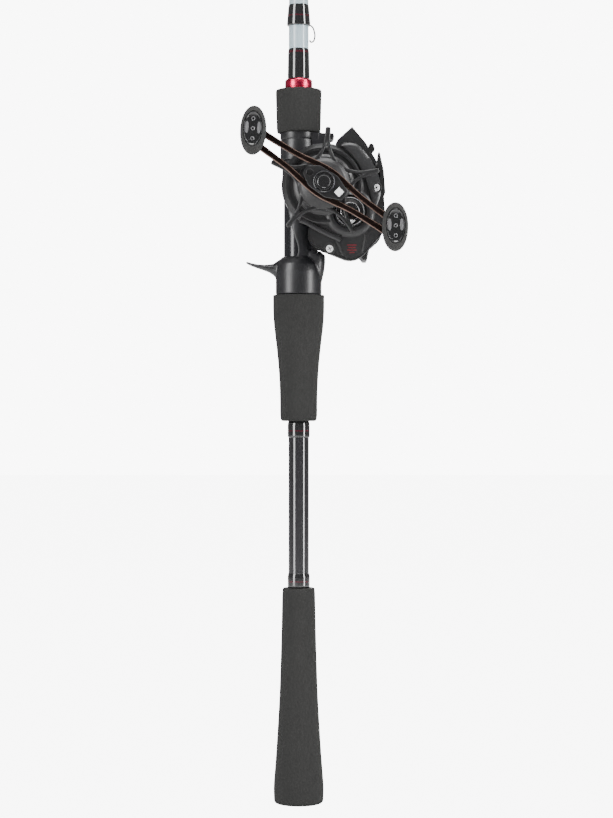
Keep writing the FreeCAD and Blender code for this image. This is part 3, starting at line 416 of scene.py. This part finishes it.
def loft(name, rings, material, crease=40.0):
    """Skins rings of equal length; the first and last are closed with one face each."""
    points = [point for ring in rings for point in ring]
    count = len(rings[0])
    faces = []
    for i in range(len(rings) - 1):
        for j in range(count):
            k = (j + 1) % count
            faces.append((i * count + j, i * count + k, (i + 1) * count + k, (i + 1) * count + j))
    faces.append(tuple(range(count)))
    faces.append(tuple((len(rings) - 1) * count + j for j in range(count)))
    return add_mesh(name, points, faces, material, crease)


def curve_through(stations, steps):
    """Smooth points through stations of any length, by a Catmull-Rom curve."""
    ends = [stations[0]] + list(stations) + [stations[-1]]
    made = []
    for i in range(1, len(ends) - 2):
        p0, p1, p2, p3 = (Vector(ends[i + k - 1]) for k in range(4))
        for step in range(steps):
            t = step / steps
            made.append(tuple(0.5 * ((2 * p1) + (p2 - p0) * t + (2 * p0 - 5 * p1 + 4 * p2 - p3) * t * t
                                     + (3 * p1 - p0 - 3 * p2 + p3) * t ** 3)))
    made.append(tuple(stations[-1]))
    return made


def ellipse(half_u, half_v, steps, power=2.0):
    """A round or, above a power of 2, a squarer oval."""
    made = []
    for step in range(steps):
        turn = 2 * math.pi * step / steps
        u = math.copysign(abs(math.cos(turn)) ** (2 / power), math.cos(turn)) * half_u
        v = math.copysign(abs(math.sin(turn)) ** (2 / power), math.sin(turn)) * half_v
        made.append((u, v))
    return made


def rectangle(half_u, half_v, u=0.0, v=0.0):
    """A rectangle's outline about a middle."""
    return [(u - half_u, v - half_v), (u + half_u, v - half_v),
            (u + half_u, v + half_v), (u - half_u, v + half_v)]


def wire(name, points, radius, material, body):
    """A bent round wire."""
    curve = bpy.data.curves.new(name, "CURVE")
    curve.dimensions = "3D"
    curve.bevel_depth = radius * MM
    curve.bevel_resolution = 4
    curve.use_fill_caps = True
    spline = curve.splines.new("BEZIER")
    spline.bezier_points.add(len(points) - 1)
    for knot, point in zip(spline.bezier_points, points):
        knot.co = Vector(point) * MM
        knot.handle_left_type = knot.handle_right_type = "AUTO"
    curve.materials.append(material)
    piece = bpy.data.objects.new(name, curve)
    bpy.context.scene.collection.objects.link(piece)
    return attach(piece, body)


def join(name, pieces):
    """Several meshes as one."""
    form = bmesh.new()
    materials = []
    for piece in pieces:
        slots = {}
        for index, material in enumerate(piece.data.materials):
            if material not in materials:
                materials.append(material)
            slots[index] = materials.index(material)
        start = len(form.faces)
        form.from_mesh(piece.data)
        form.faces.ensure_lookup_table()
        for face in form.faces[start:]:
            face.material_index = slots.get(face.material_index, 0)
        bpy.data.objects.remove(piece)
    mesh = bpy.data.meshes.new(name)
    form.to_mesh(mesh)
    form.free()
    for material in materials:
        mesh.materials.append(material)
    whole = bpy.data.objects.new(name, mesh)
    bpy.context.scene.collection.objects.link(whole)
    return whole


def bake_modifiers(piece, crease=35.0):
    """Applies what the modifiers make of a piece to its own mesh."""
    graph = bpy.context.evaluated_depsgraph_get()
    mesh = bpy.data.meshes.new_from_object(piece.evaluated_get(graph))
    piece.modifiers.clear()
    piece.data = mesh
    smooth(mesh, crease)
    return piece


def moulded(piece, voxel, rounds, material):
    """Melts joined shapes into one moulding, as a casting has no seams."""
    remesh = piece.modifiers.new("melt", "REMESH")
    remesh.mode = "VOXEL"
    remesh.voxel_size = voxel * MM
    relax = piece.modifiers.new("relax", "SMOOTH")
    relax.factor = 0.5
    relax.iterations = rounds
    bake_modifiers(piece, 180.0)
    piece.data.materials.clear()
    piece.data.materials.append(material)
    return piece


def place_piece(piece, body, slot, *replaced):
    """Rides a finished piece on its body and hides the nodes it stands for; the slot it is given is not
    used.
    """
    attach(piece, body)
    if replaced:
        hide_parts(*replaced)
    return piece


# ---------------------------------------------------------------- camera, floor and light

BACKDROP = 9.0          # how bright the paper behind the rod looks to the camera
VIEWPOINT = (4.45, -1200, 224.6)
LENS = 92.65


def stage_set():
    """A level camera on the rod's handle, a pale floor and soft white light."""
    camera = bpy.data.objects.new("camera", bpy.data.cameras.new("camera"))
    camera.data.lens = LENS
    camera.data.sensor_width = 36
    camera.location = Vector(VIEWPOINT) * MM
    camera.rotation_euler = (math.pi / 2, 0, 0)
    camera.data.clip_start = 0.01
    bpy.context.scene.collection.objects.link(camera)
    bpy.context.scene.camera = camera

    paper = Paint("floor_paper", (0.86, 0.86, 0.86), 0.9)
    paper.set("Base Color", paper.blend(paper.noise(30, 2), (0.84, 0.84, 0.84), (0.88, 0.88, 0.88)))
    lit_paper = paper.node("ShaderNodeEmission", {}, {"Strength": BACKDROP})
    seen = paper.node("ShaderNodeLightPath", {})
    mixed = paper.node("ShaderNodeMixShader", {}, [seen * 0.9])
    paper.tree.links.new(paper.shader.outputs[0], mixed.socket.node.inputs[1])
    paper.tree.links.new(lit_paper.socket, mixed.socket.node.inputs[2])
    paper.tree.links.new(mixed.socket, paper.tree.nodes["Material Output"].inputs[0])
    reach = 6000
    floor = add_mesh("floor", [(-reach, -reach, -1), (reach, -reach, -1), (reach, reach, -1),
                               (-reach, reach, -1)], [(0, 1, 2, 3)], paper.material)

    world = bpy.data.worlds.new("studio")
    world.use_nodes = True
    links = world.node_tree.links
    tree = world.node_tree.nodes
    backdrop = tree["Background"]
    backdrop.inputs["Color"].default_value = (1, 1, 1, 1)
    backdrop.inputs["Strength"].default_value = BACKDROP
    fill = tree.new("ShaderNodeBackground")
    fill.inputs["Color"].default_value = (1, 1, 1, 1)
    fill.inputs["Strength"].default_value = 0.25
    seen = tree.new("ShaderNodeLightPath")
    mix = tree.new("ShaderNodeMixShader")
    links.new(seen.outputs["Is Camera Ray"], mix.inputs[0])
    links.new(fill.outputs[0], mix.inputs[1])
    links.new(backdrop.outputs[0], mix.inputs[2])
    links.new(mix.outputs[0], tree["World Output"].inputs[0])
    bpy.context.scene.world = world

    for name, place, size, power in (
        ("soft_left", (-1100, -900, 700), (500, 1500), 34.0),
        ("strip_right", (900, -500, 500), (160, 1300), 22.0),
        ("soft_top", (100, -500, 1900), (900, 900), 26.0),
        ("back_fill", (200, 1500, 900), (1200, 1200), 22.0),
    ):
        lamp = bpy.data.lights.new(name, "AREA")
        lamp.shape = "RECTANGLE"
        lamp.size, lamp.size_y = size[0] * MM, size[1] * MM
        lamp.energy = power
        lit = bpy.data.objects.new(name, lamp)
        lit.location = Vector(place) * MM
        aim = Vector((0, 0, 300)) * MM - lit.location
        lit.rotation_euler = aim.to_track_quat("-Z", "Y").to_euler()
        bpy.context.scene.collection.objects.link(lit)


stage_set()


# ---------------------------------------------------------------- finishes of the frame's own pieces

FINISHES = {
    BLANK: "blank",
    RUBBER: "butt_cap",
    SEAT: "sliding_hood lock_nut",
    GUIDE_METAL: "guide_frames tip_top",
    CERAMIC: "guide_rings line_guide_insert",
    GUIDE_WRAP: "guide_wraps",
    FRAME_COAT: "reel_frame gear_plate",
    COVER: "gear_side_cover palm_side_cover front_hood thumb_bar line_guide",
    STEEL: "spool_bearings drive_shaft_bearing one_way_clutch guide_rod clutch_yoke spool_shaft "
           "worm_shaft pawl drive_shaft drag_springs star_nut knob_posts knob_bearings magnet_ring",
    BRASS: "drive_gear wind_drive_gear worm_gear pinion_gear",
    SPOOL_ALLOY: "spool",
    FIBRE: "drag_washers",
}
BEVELLED = {"reel_frame": 0.3, "gear_side_cover": 0.3, "palm_side_cover": 1.2, "front_hood": 0.3,
            "thumb_bar": 0.6, "sliding_hood": 1.2, "gear_plate": 0.15, "guide_frames": 0.12,
            "tip_top": 0.1, "line_guide": 0.2}


def dress(name, material):
    """Gives a frame piece its finish, and softens its edges without touching its mesh."""
    piece = nodes[name]
    piece.data.materials.clear()
    piece.data.materials.append(material)
    piece.data.polygons.foreach_set("material_index", [0] * len(piece.data.polygons))
    weld = piece.modifiers.new("weld", "WELD")
    weld.merge_threshold = 0.004 * MM
    if name in BEVELLED:
        bevel = piece.modifiers.new("bevel", "BEVEL")
        bevel.width = BEVELLED[name] * MM
        bevel.segments = 2
        bevel.limit_method = "ANGLE"
        bevel.angle_limit = math.radians(30)
        bevel.use_clamp_overlap = True


for finish, names in FINISHES.items():
    for name in names.split():
        dress(name, finish)


# ---------------------------------------------------------------- where the frame's pieces stand

def axis_of(node):
    """The row's (x, z) in the middle of a node, in millimetres."""
    low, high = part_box(node)
    return ((low[0] + high[0]) / 2 / MM, (low[2] + high[2]) / 2 / MM)


DRIVE = axis_of("handle_nut")
SPOOL = axis_of("cast_control_cap")
KNOBS = {"upper": axis_of("knob_cap_upper"), "lower": axis_of("knob_cap_lower")}
ARM_TURN = math.degrees(math.atan2(KNOBS["lower"][1] - DRIVE[1], KNOBS["lower"][0] - DRIVE[0]))
ARM_REACH = math.dist(KNOBS["lower"], DRIVE)

# Outward levels of the reel's layers.
COVER_FACE = 23.9
ARM_FOOT = 37.6
ARM_TOP = 40.2
BADGE_FLOOR = 64.9


# ---------------------------------------------------------------- rod: foam grips

def foam_grip(node, outline, inside, body):
    """A grip turned from closed-cell foam: the outline runs from its foot to its top."""
    grip = spun(node + "_foam", rounded(outline, 1.0, 6, closed=False) + inside, FOAM, steps=128)
    place_piece(grip, body, "foam", node)


foam_grip("rear_grip", [(9.8, 0.2), (14.0, 0.2, 2.8), (14.4, 9, 4), (13.1, 25, 9), (12, 42, 9),
                        (10.9, 61, 10), (9.9, 93, 14), (9.4, 119, 2), (9.1, 122.8), (7, 122.8)],
          [(5.85, 122.8), (5.85, 4.1), (9.8, 4.1)], "rod")
foam_grip("mid_grip", [(7, 217.7), (10.1, 217.7, 2.2), (10.6, 221, 3), (10.65, 234, 10),
                       (11.4, 248, 8), (12.6, 260, 8), (14.2, 273, 7), (14.6, 281, 4),
                       (14.6, 289.5, 0.6), (8, 289.55)],
          [(5.9, 289.55), (5.9, 217.7)], "rod")
foam_grip("fore_grip", [(8.6, 381.65), (12.2, 381.65), (12.55, 384, 0.8), (12.8, 394, 4),
                        (13.05, 404, 1), (13.05, 406.4, 1.5), (8, 406.4)],
          [(6.5, 406.4), (6.5, 402.7), (8.6, 402.7)], "fore_grip_nut")


# ---------------------------------------------------------------- rod: wraps, winding check, keeper

def epoxy_wrap(name, low, high, radius, base, finish, top_radius=None):
    """Thread under a coat of epoxy that runs out thin at both ends."""
    top = top_radius or radius
    profile = rounded([(base - 0.1, low), (radius - 0.15, low + 0.2, 0.5), (radius, low + 1.2, 0.8),
                       (top, high - 1.8, 1.2), (base + 0.1, high - 0.1, 0.6), (base - 0.1, high)],
                      0.5, 4, closed=False)
    return spun(name, profile, finish, steps=96, crease=60)


place_piece(join("handle_windings", [
    epoxy_wrap("lower_winding", 122.75, 131.2, 6.3, 5.8, HANDLE_WRAP),
    epoxy_wrap("upper_winding", 208.3, 217.75, 6.3, 5.8, HANDLE_WRAP),
]), "rod", "wrap_epoxy", "handle_wraps")
place_piece(epoxy_wrap("fore_winding", 412.4, 429.8, 6.3, 5.65, FORE_WRAP, 6.05),
            "rod", "wrap_epoxy", "fore_wrap")
place_piece(epoxy_wrap("keeper_winding", 442.7, 454.9, 6.75, 5.6, KEEPER_WRAP, 6.0),
            "rod", "wrap_epoxy", "keeper_wrap")
place_piece(spun("winding_check_turned", rounded([
    (6.5, 406.42), (7.8, 406.42), (7.8, 407.3), (7.55, 407.45), (7.55, 407.75), (7.8, 407.9),
    (7.8, 410.5), (7.6, 410.65), (7.6, 410.9), (7.8, 411.05), (7.75, 411.5), (7.0, 412.35),
    (6.5, 412.4)], 0.12, 2), RED_RING, crease=25), "fore_grip_nut", "red_anodised", "winding_check")
keeper = wire("keeper_hook", [(5.9, 0, 443.4), (7.5, 0, 442.6), (8.9, 0, 439.6), (9.1, 0, 436.2),
                              (8.1, 0, 434.0), (6.8, 0, 433.8), (6.3, 0, 434.8)], 0.45,
              GUIDE_METAL, "rod")
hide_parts("hook_keeper")


# ---------------------------------------------------------------- reel seat

def oval_ring(place, half_y, half_z, middle_z):
    """A ring across X at a place, for lofts that run sideways."""
    return [(place, u, middle_z + v) for u, v in ellipse(half_y, half_z, 28)]


def trigger():
    """The finger hook: a broad root on the barrel that thins to a blunt, slightly lifted tip."""
    stations = [(-6.5, 5.6, 6.8, 303.4), (-10.0, 5.2, 6.6, 303.7), (-12.4, 4.8, 5.3, 303.6),
                (-14.2, 4.4, 3.5, 304.0), (-16.5, 4.1, 2.5, 304.6), (-19.5, 3.8, 1.75, 305.1),
                (-23.5, 3.4, 1.25, 305.9), (-27.0, 2.8, 0.95, 306.9), (-29.2, 2.1, 0.75, 307.8),
                (-30.1, 1.2, 0.45, 308.2)]
    return loft("trigger", [oval_ring(*station) for station in stations], SEAT)


def rear_hood():
    """The fixed cup over the foot's rear end."""
    stations = [(291.0, 11.8, 4.5), (297, 13.2, 6.0), (303, 14.6, 7.4), (308, 15.2, 8.3),
                (312, 15.2, 8.5), (314.2, 12.6, 7.8)]
    rings = []
    for height, reach, half_width in stations:
        middle = (reach + 2) / 2
        rings.append([(middle + u, v, height)
                      for u, v in ellipse(reach - middle, half_width, 28, 2.6)])
    return loft("rear_hood", rings, SEAT)


def seat_cowl():
    """A skin round the tube's reel side; its front edge leaves a long open window."""
    edges = [(306.0, -3.0), (309.8, -2.4), (311.5, -0.9), (314.5, -0.3), (318, -0.9), (324, -2.9),
             (330, -4.7), (335, -6.1), (341, -7.4), (348, -8.7), (355, -9.4), (366, -9.4)]
    rings = []
    for height, edge in edges:
        spread = math.acos(max(-1.0, edge / 9.4))
        turns = [spread * (step / 16 - 1) for step in range(33)]
        outer = [(9.4 * math.cos(turn), 9.4 * math.sin(turn), height) for turn in turns]
        inner = [(7.4 * math.cos(turn), 7.4 * math.sin(turn), height) for turn in reversed(turns)]
        rings.append(outer + inner)
    return loft("seat_cowl", rings, SEAT)


def seat_moulding():
    """Barrel, trigger, rear hood and cowl, flowing into each other as one moulding."""
    barrel = spun("barrel", [(6.2, 289.6), (12.9, 289.6), (13.1, 290.2), (13.1, 303), (12.5, 307),
                             (11.0, 309.6), (9.2, 311.2), (6.2, 311.4)], SEAT)
    bed = loft("foot_bed", [[(5.5, -6.2, z), (9.0, -6.2, z), (9.0, 6.2, z), (5.5, 6.2, z)]
                            for z in (310, 366)], SEAT)
    return moulded(join("seat_moulding", [barrel, trigger(), rear_hood(), seat_cowl(), bed]),
                   0.45, 5, SEAT)


place_piece(seat_moulding(), "rod", "seat_plastic", "reel_seat")
place_piece(spun("seat_tube", [(6.0, 300), (8.4, 300), (8.4, 401.6), (8.0, 402), (6.0, 402)],
                 SEAT_TUBE), "rod", "seat_plastic")


# ---------------------------------------------------------------- reel: crank handle

def mirrored(quarter):
    """A closed outline from its first quarter, which runs from (0, h) to (w, 0)."""
    right = quarter + [(u, -v) for u, v in reversed(quarter[:-1])]
    return right + [(-u, v) for u, v in reversed(right[1:-1])]


def crank_arm():
    """Two flat rails that swell round the hub and close at the knobs, their rims chamfered."""
    flank = curve_through([(0, 8.9), (5, 8.6), (12, 7.5), (22, 6.0), (36, 5.5), (ARM_REACH, 5.4)], 6)
    cheek = [(ARM_REACH + 5.4 * math.sin(turn), 5.4 * math.cos(turn))
             for turn in (math.pi / 16 * step for step in range(1, 8))]
    outline = mirrored([tuple(point) for point in flank] + cheek + [(ARM_REACH + 5.4, 0)])
    half = [(7.6, 3.6), (8.6, 4.9), (12, 4.2), (15, 3.7), (22, 2.85), (36, 2.0), (41.2, 1.7), (42.4, 0.9)]
    slot = rounded(half + [(u, -v) for u, v in reversed(half)], 1.4, 3)
    slots = [slot, [(-u, v) for u, v in slot]]
    shaft = ellipse(3.0, 3.0, 24)
    return slab("crank_arm", outline, ARM_FOOT, ARM_TOP, [RAIL, RAIL_EDGE], 0.45, DRIVE, ARM_TURN,
                slots + [shaft])


def retainer_plate():
    """The thin plate that keeps the nut from turning: a stretched hexagon with a hex window."""
    outline = rounded([(-12.6, -2.3), (-12.6, 2.3), (-6.6, 6.4), (4.6, 6.9), (14.0, 3.1), (14.0, -2.9),
                       (5.0, -6.9), (-6.0, -6.5)], 0.9, 3)
    window = [(-9.4 + 2.0 * math.cos(math.pi / 3 * side), 2.0 * math.sin(math.pi / 3 * side))
              for side in range(6)]
    return slab("retainer_plate", outline, ARM_TOP + 0.02, ARM_TOP + 0.9, [STAR, STAR_EDGE], 0.3,
                DRIVE, ARM_TURN, [window])


def nut_cap():
    """A round black nut with a raised rim and a dished face."""
    body = spun("nut_body", rounded([(0, 42.5), (3.3, 42.5), (3.5, 42.7), (4.7, 42.8), (4.9, 42.4),
                                     (5.3, 42.3), (5.5, 43.2), (6.0, 43.4), (6.3, 42.6),
                                     (6.3, 40.3), (0, 40.3)], 0.25, 3, closed=False),
                BADGE, DRIVE, closed=False)
    rim = spun("nut_rim", [(5.75, 43.1), (6.2, 42.6), (6.38, 42.7), (6.3, 43.1), (5.95, 43.5),
                           (5.7, 43.4)], GUIDE_METAL, DRIVE)
    return join("nut_cap", [body, rim])


place_piece(crank_arm(), "handle", "handle_alloy", "handle_arm")
place_piece(retainer_plate(), "handle", "star_black", "nut_retainer")
place_piece(nut_cap(), "handle", "star_black", "handle_nut")


def star_limb(name, angle, stations):
    """A forged limb of the star along (radius, sideways, outwards, half width, half depth)."""
    path = curve_through(stations, 5)
    rings = []
    lean = math.radians(angle)
    along = Vector((math.cos(lean), math.sin(lean)))
    across = Vector((-along.y, along.x))
    count = len(path)
    for i, (radius, sideways, level, half_width, half_depth) in enumerate(path):
        before = path[max(0, i - 1)]
        after = path[min(count - 1, i + 1)]
        run = Vector((after[0] - before[0], after[1] - before[1])).normalized()
        ring = []
        for u, v in ellipse(half_width, half_depth, 16, 2.6):
            spot = along * (radius - run.y * u) + across * (sideways + run.x * u)
            ring.append((DRIVE[0] + spot.x, -(level + v), DRIVE[1] + spot.y))
        rings.append(ring)
    return loft(name, rings, STAR)


def star_wheel():
    """A domed hub with five wishbone arms, each of two curved legs that meet near the tip."""
    limbs = [spun("star_hub", [(3.4, 33.5), (6.4, 33.5), (6.4, 30.5), (15.0, 30.5), (15.0, 31.1),
                               (14.5, 32.2), (12.4, 33.8), (9.4, 35.0), (7.6, 35.3), (3.4, 35.3)],
                  STAR, DRIVE)]
    for number in range(5):
        angle = 13.5 + 72 * number
        for side in (-1, 1):
            limbs.append(star_limb(f"star_leg_{number}_{side}", angle, [
                (12.2, 5.6 * side, 31.7, 1.5, 0.9), (15.2, 3.8 * side, 31.9, 1.15, 0.95),
                (18.4, 2.2 * side, 32.1, 1.0, 0.95), (21.8, 1.2 * side, 32.1, 1.0, 0.95),
                (25.5, 0.7 * side, 32.1, 1.05, 0.95), (31.0, 0.45 * side, 32.0, 1.0, 0.9)]))
        limbs.append(star_limb(f"star_tip_{number}", angle, [
            (26.0, 0, 32.1, 1.1, 0.9), (30.6, 0, 32.0, 1.4, 0.95), (31.6, 0, 32.0, 0.9, 0.6)]))
    return moulded(join("star_wheel", limbs), 0.3, 3, STAR)


place_piece(star_wheel(), "star", "star_black", "star_drag")


# ---------------------------------------------------------------- reel: knobs

KNOB_HALF_WIDTH = 7.15
KNOB_HALF_LENGTH = 13.3


def knob_rings(centre, tilt, levels, power):
    """Ovals stacked outwards on a knob's axis: each level is (outwards, scale of the full oval)."""
    spin = Matrix.Rotation(math.radians(tilt), 2)
    rings = []
    for level, scale in levels:
        oval = ellipse(KNOB_HALF_WIDTH * scale, KNOB_HALF_LENGTH * scale, 64, power)
        ring = [spin @ Vector(point) for point in oval]
        rings.append([(centre[0] + u, -level, centre[1] + v) for u, v in ring])
    return rings


def paddle_knob(side, tilt):
    """A pillow of dense foam, and a glossy oval badge with two grey patches of painted reflection and
    three small eyelets.
    """
    centre = KNOBS[side]
    body = side + "_knob"
    paddle = loft(f"paddle_{side}", knob_rings(centre, tilt, [
        (43.0, 0.60), (43.5, 0.68), (45.5, 0.79), (49, 0.90), (53, 0.97), (56.5, 1.0), (60, 0.985),
        (62.4, 0.95), (64.2, 0.89), (65.2, 0.82), (65.5, 0.765), (65.4, 0.735), (64.9, 0.722),
        (64.0, 0.715)], 2.08), KNOB_FOAM, crease=50)
    place_piece(paddle, body, "knob_foam", f"knob_{side}")

    spin = Matrix.Rotation(math.radians(tilt), 2)

    def spot(u, v):
        turned = spin @ Vector((u, v))
        return (centre[0] + turned.x, centre[1] + turned.y)

    plate = loft(f"badge_plate_{side}", knob_rings(centre, tilt, [
        (64.1, 0.705), (65.35, 0.70), (65.6, 0.68), (65.6, 0.66), (65.3, 0.635), (65.05, 0.60),
        (65.0, 0.45), (65.05, 0.2)], 2.2), BADGE, crease=30)
    details = [plate]
    # Two grey patches of painted reflection, where the glossy badge would show the lamps.
    for u in (-3.3, 3.3):
        outline = [tuple(spin @ Vector((u + a, 0.6 + b))) for a, b in ellipse(1.1, 3.3, 24, 2.6)]
        details.append(slab(f"painted_reflection_{side}_{u}", outline, BADGE_FLOOR, BADGE_FLOOR + 0.35,
                            [EYELET_AND_REFLECTION_GREY, BADGE], 0.15, centre))
    for v in (5.3, 0.0, -5.4):
        details.append(spun(f"eyelet_{side}_{v}", [(0.65, 64.9), (1.1, 64.9), (1.1, 65.3),
                                                   (1.0, 65.5), (0.8, 65.45), (0.65, 65.2)],
                            EYELET_AND_REFLECTION_GREY, spot(0, v), 32))
    place_piece(join(f"badge_{side}", details), body, "knob_badge", f"knob_cap_{side}")


paddle_knob("upper", -3.6)
paddle_knob("lower", 0.0)


# ---------------------------------------------------------------- reel: cast control and brake dial

def cast_cap():
    """A dished black cap with a fluted skirt, two bright rings and one near-white triangle of painted
    highlight.
    """
    cap = spun("cap_body", [(6.4, 24.95), (8.2, 24.95), (8.3, 25.3), (8.3, 28.6), (8.0, 29.1),
                            (7.5, 29.1), (7.1, 28.5), (5.6, 28.2), (5.3, 28.7), (4.6, 28.7),
                            (4.3, 28.3), (0, 28.1)], BADGE, SPOOL, 192, closed=False,
               flutes=(48, 0.3, 8.1))
    rings = [spun("cap_rim", [(7.5, 28.9), (8.05, 28.7), (8.1, 29.0), (7.9, 29.4), (7.55, 29.35)],
                  CHROME, SPOOL),
             spun("cap_ring", [(4.95, 28.6), (5.4, 28.6), (5.35, 28.85), (5.2, 29.0), (5.0, 28.85)],
                  CHROME, SPOOL)]
    # A near-white triangle on the cap: painted highlight.
    flat = slab("cap_glint", rounded([(-1.2, -5.0), (3.4, -4.9), (0.6, -7.2)], 0.3, 2), 28.0, 28.95,
                [WHITE_GLINT, CHROME], 0.15, SPOOL)
    return join("cast_cap", [cap, *rings, flat])


def magnetic_dial():
    """The palm-side dial: a fluted rim, a dished face, and dots that grow round its scale."""
    dial = spun("dial_body", [(2.0, -25.3), (8.3, -25.3), (8.5, -25.6), (8.5, -27.3), (8.0, -28.0),
                              (7.2, -28.15), (6.6, -27.7), (0, -27.5)], COVER, SPOOL, 144,
                closed=False, flutes=(24, 0.45, 7.9))
    marks = []
    for number in range(7):
        turn = math.radians(30 + 40 * number)
        spot = (SPOOL[0] + 4.9 * math.cos(turn), SPOOL[1] + 4.9 * math.sin(turn))
        marks.append(slab(f"dial_dot_{number}", [(spot[0] + u, spot[1] + v) for u, v in
                                                 ellipse(0.35 + 0.06 * number, 0.35 + 0.06 * number, 16)],
                          -27.78, -27.55, [RED_MARK, RED_MARK], 0.05))
    return join("magnetic_dial", [dial, *marks])


place_piece(cast_cap(), "cast_control", "chrome_trim", "cast_control_cap")
place_piece(magnetic_dial(), "brake_dial_body", "reel_black", "brake_dial")


# ---------------------------------------------------------------- reel: relief and marks of the covers

# Where the side screws stand, and how far each is lifted above the face.
SCREWS = [(17.4, 314.2, 0.0), (43.5, 348.2, 1.1)]


def inlay(name, outline, materials, rise=0.1, chamfer=0.03):
    """A thin raised figure on the gear side's face."""
    return slab(name, outline, COVER_FACE - 0.05, COVER_FACE + rise, materials, chamfer)


def panel_line(name, start, end, width):
    """A straight dark line raised between two points of the face, with edges painted pale as a highlight.
    """
    run = (Vector(end) - Vector(start)).normalized() * (width / 2)
    side = Vector((-run.y, run.x))
    corners = [Vector(start) + side, Vector(start) - side, Vector(end) - side, Vector(end) + side]
    return inlay(name, [tuple(corner) for corner in corners], [RUBBER, COVER_HIGHLIGHT], rise=0.25,
                 chamfer=0.25)


def shoulder():
    """The bevelled shoulder that runs round the dome's front and down past the upper screw."""
    stations = [(67, 23.7, 25.2, 24.5), (59, 23.2, 27.8, 25.1), (50, 22.8, 29.4, 25.4),
                (39, 22.6, 29.7, 25.5), (28, 22.6, 30.0, 25.5), (17, 22.8, 30.6, 25.5),
                (6, 23.6, 31.4, 25.3), (-4, 25.0, 32.2, 25.1), (-14, 27.0, 32.7, 24.9),
                (-24, 30.0, 32.7, 24.6)]
    rings = []
    for angle, inner, outer, crest in curve_through(stations, 10):
        turn = math.radians(angle)
        third = (outer - inner) / 3
        section = ((inner, 19.0), (inner, crest - 0.5), (inner + 0.3, crest - 0.1),
                   (inner + third * 0.8, crest), (outer - third, crest - 0.6),
                   (outer - 0.3, crest - 1.1), (outer, crest - 1.5), (outer, 16.6))
        rings.append([(DRIVE[0] + reach * math.cos(turn), -level, DRIVE[1] + reach * math.sin(turn))
                      for reach, level in section])
    # The band takes the lighter copy of the cover coating: painted highlight.
    return loft("shoulder", rings, COVER_HIGHLIGHT)


def chin_ridge():
    """The rounded ridge that leaves the cast control's boss and runs up under the dome."""
    path = curve_through([(9.6, -30.4), (4.6, -28.2), (-2.6, -24.6), (-9.0, -21.0), (-13.2, -19.4)], 5)
    rings = []
    for i, (u, v) in enumerate(path):
        before = Vector(path[max(0, i - 1)])
        run = (Vector(path[min(len(path) - 1, i + 1)]) - before).normalized()
        rings.append([(DRIVE[0] + u - run.y * across, -24.1 - rise, DRIVE[1] + v + run.x * across)
                      for across, rise in ellipse(1.6, 0.9, 20, 2.4)])
    # The ridge takes the lighter copy of the cover coating: painted highlight.
    return loft("chin_ridge", rings, COVER_HIGHLIGHT)


def screw_cup(name, spot, lift):
    """The dark cup a screw head is sunk in."""
    profile = [(0, 22.5), (3.0, 22.5), (3.15, 23.6), (3.15, 23.98), (2.8, 24.08), (2.4, 23.7),
               (2.2, 22.9), (0, 22.85)]
    return spun(name, [(radius, level + lift) for radius, level in profile], RUBBER, spot, 48,
                closed=False)


def screw_heads():
    """Two domed silver heads, painted near-white as a highlight, with their crossed slots painted as
    black bars for the slots' shade.
    """
    made = []
    for number, (x, z, lift) in enumerate(SCREWS):
        profile = [(2.1, 22.7), (2.1, 23.3), (1.9, 23.55), (1.3, 23.7), (0, 23.75)]
        made.append(spun(f"screw_head_{number}", [(radius, level + lift) for radius, level in profile],
                         WHITE_GLINT, (x, z), 48, closed=False))
        # Black bars over the head where its slots would lie in shade: painted shade.
        for turn in (25, 115):
            made.append(slab(f"screw_slot_shade_{number}_{turn}", rectangle(1.3, 0.22),
                             COVER_FACE - 0.5 + lift, COVER_FACE - 0.1 + lift, [BADGE, BADGE], 0.03,
                             (x, z), turn))
    return join("screw_heads", made)


def face_marks():
    """The panel lines, the dark cups round the screws and a plain mark of red bars."""
    made = [panel_line("panel_line_rear", (19.9, 321.6), (25.0, 309.9), 1.5),
            panel_line("panel_line_front", (37.4, 321.8), (35.4, 311.6), 1.5)]
    for number, width in enumerate((5.4, 4.2, 5.4, 3.0)):
        middle, level = 29.8, 316.2 - 1.4 * number
        made.append(inlay(f"bar_{number}", rectangle(width / 2, 0.3, middle, level),
                          [RED_MARK, RED_MARK]))
    for number, (x, z, lift) in enumerate(SCREWS):
        made.append(screw_cup(f"screw_cup_{number}", (x, z), lift))
    return join("face_marks", made)


def palm_relief():
    """A low turned ring round the palm-side dial, with a step inside it."""
    return spun("palm_relief", [(9.1, -24.6), (9.3, -25.3), (9.9, -25.7), (12.2, -25.9), (12.5, -25.5),
                                (12.9, -25.5), (13.2, -25.9), (16.2, -25.5), (17.0, -24.6)],
                COVER, SPOOL, 128)


place_piece(palm_relief(), "rod", "reel_black")
place_piece(join("cover_relief", [shoulder(), chin_ridge(), face_marks()]), "rod", "reel_black")
place_piece(screw_heads(), "rod", "steel", "side_screws")


# ---------------------------------------------------------------- reel: small parts of the front

def hood_web():
    """The collar that reaches from the sliding hood's cup part of the way round the nut."""
    turns = [math.radians(10 * step - 50) for step in range(11)]
    outline = [(10.8 * math.cos(turn), 10.8 * math.sin(turn)) for turn in turns]
    outline += [(13.0, 8.0), (13.0, -8.0)]
    return loft("hood_web", [[(x, y, z) for x, y in outline] for z in (377.3, 381.2)], SEAT)


def retainer_head():
    """The square key of the retainer plate, painted near-white as a highlight."""
    return slab("retainer_head", rounded(rectangle(2.05, 2.05), 0.5, 3), ARM_TOP + 0.92, ARM_TOP + 1.8,
                [WHITE_GLINT, CHROME], 0.2, axis_of("retainer_screw"), 45)


place_piece(hood_web(), "seat_hood", "seat_plastic")
place_piece(retainer_head(), "handle", "chrome_trim", "retainer_screw")
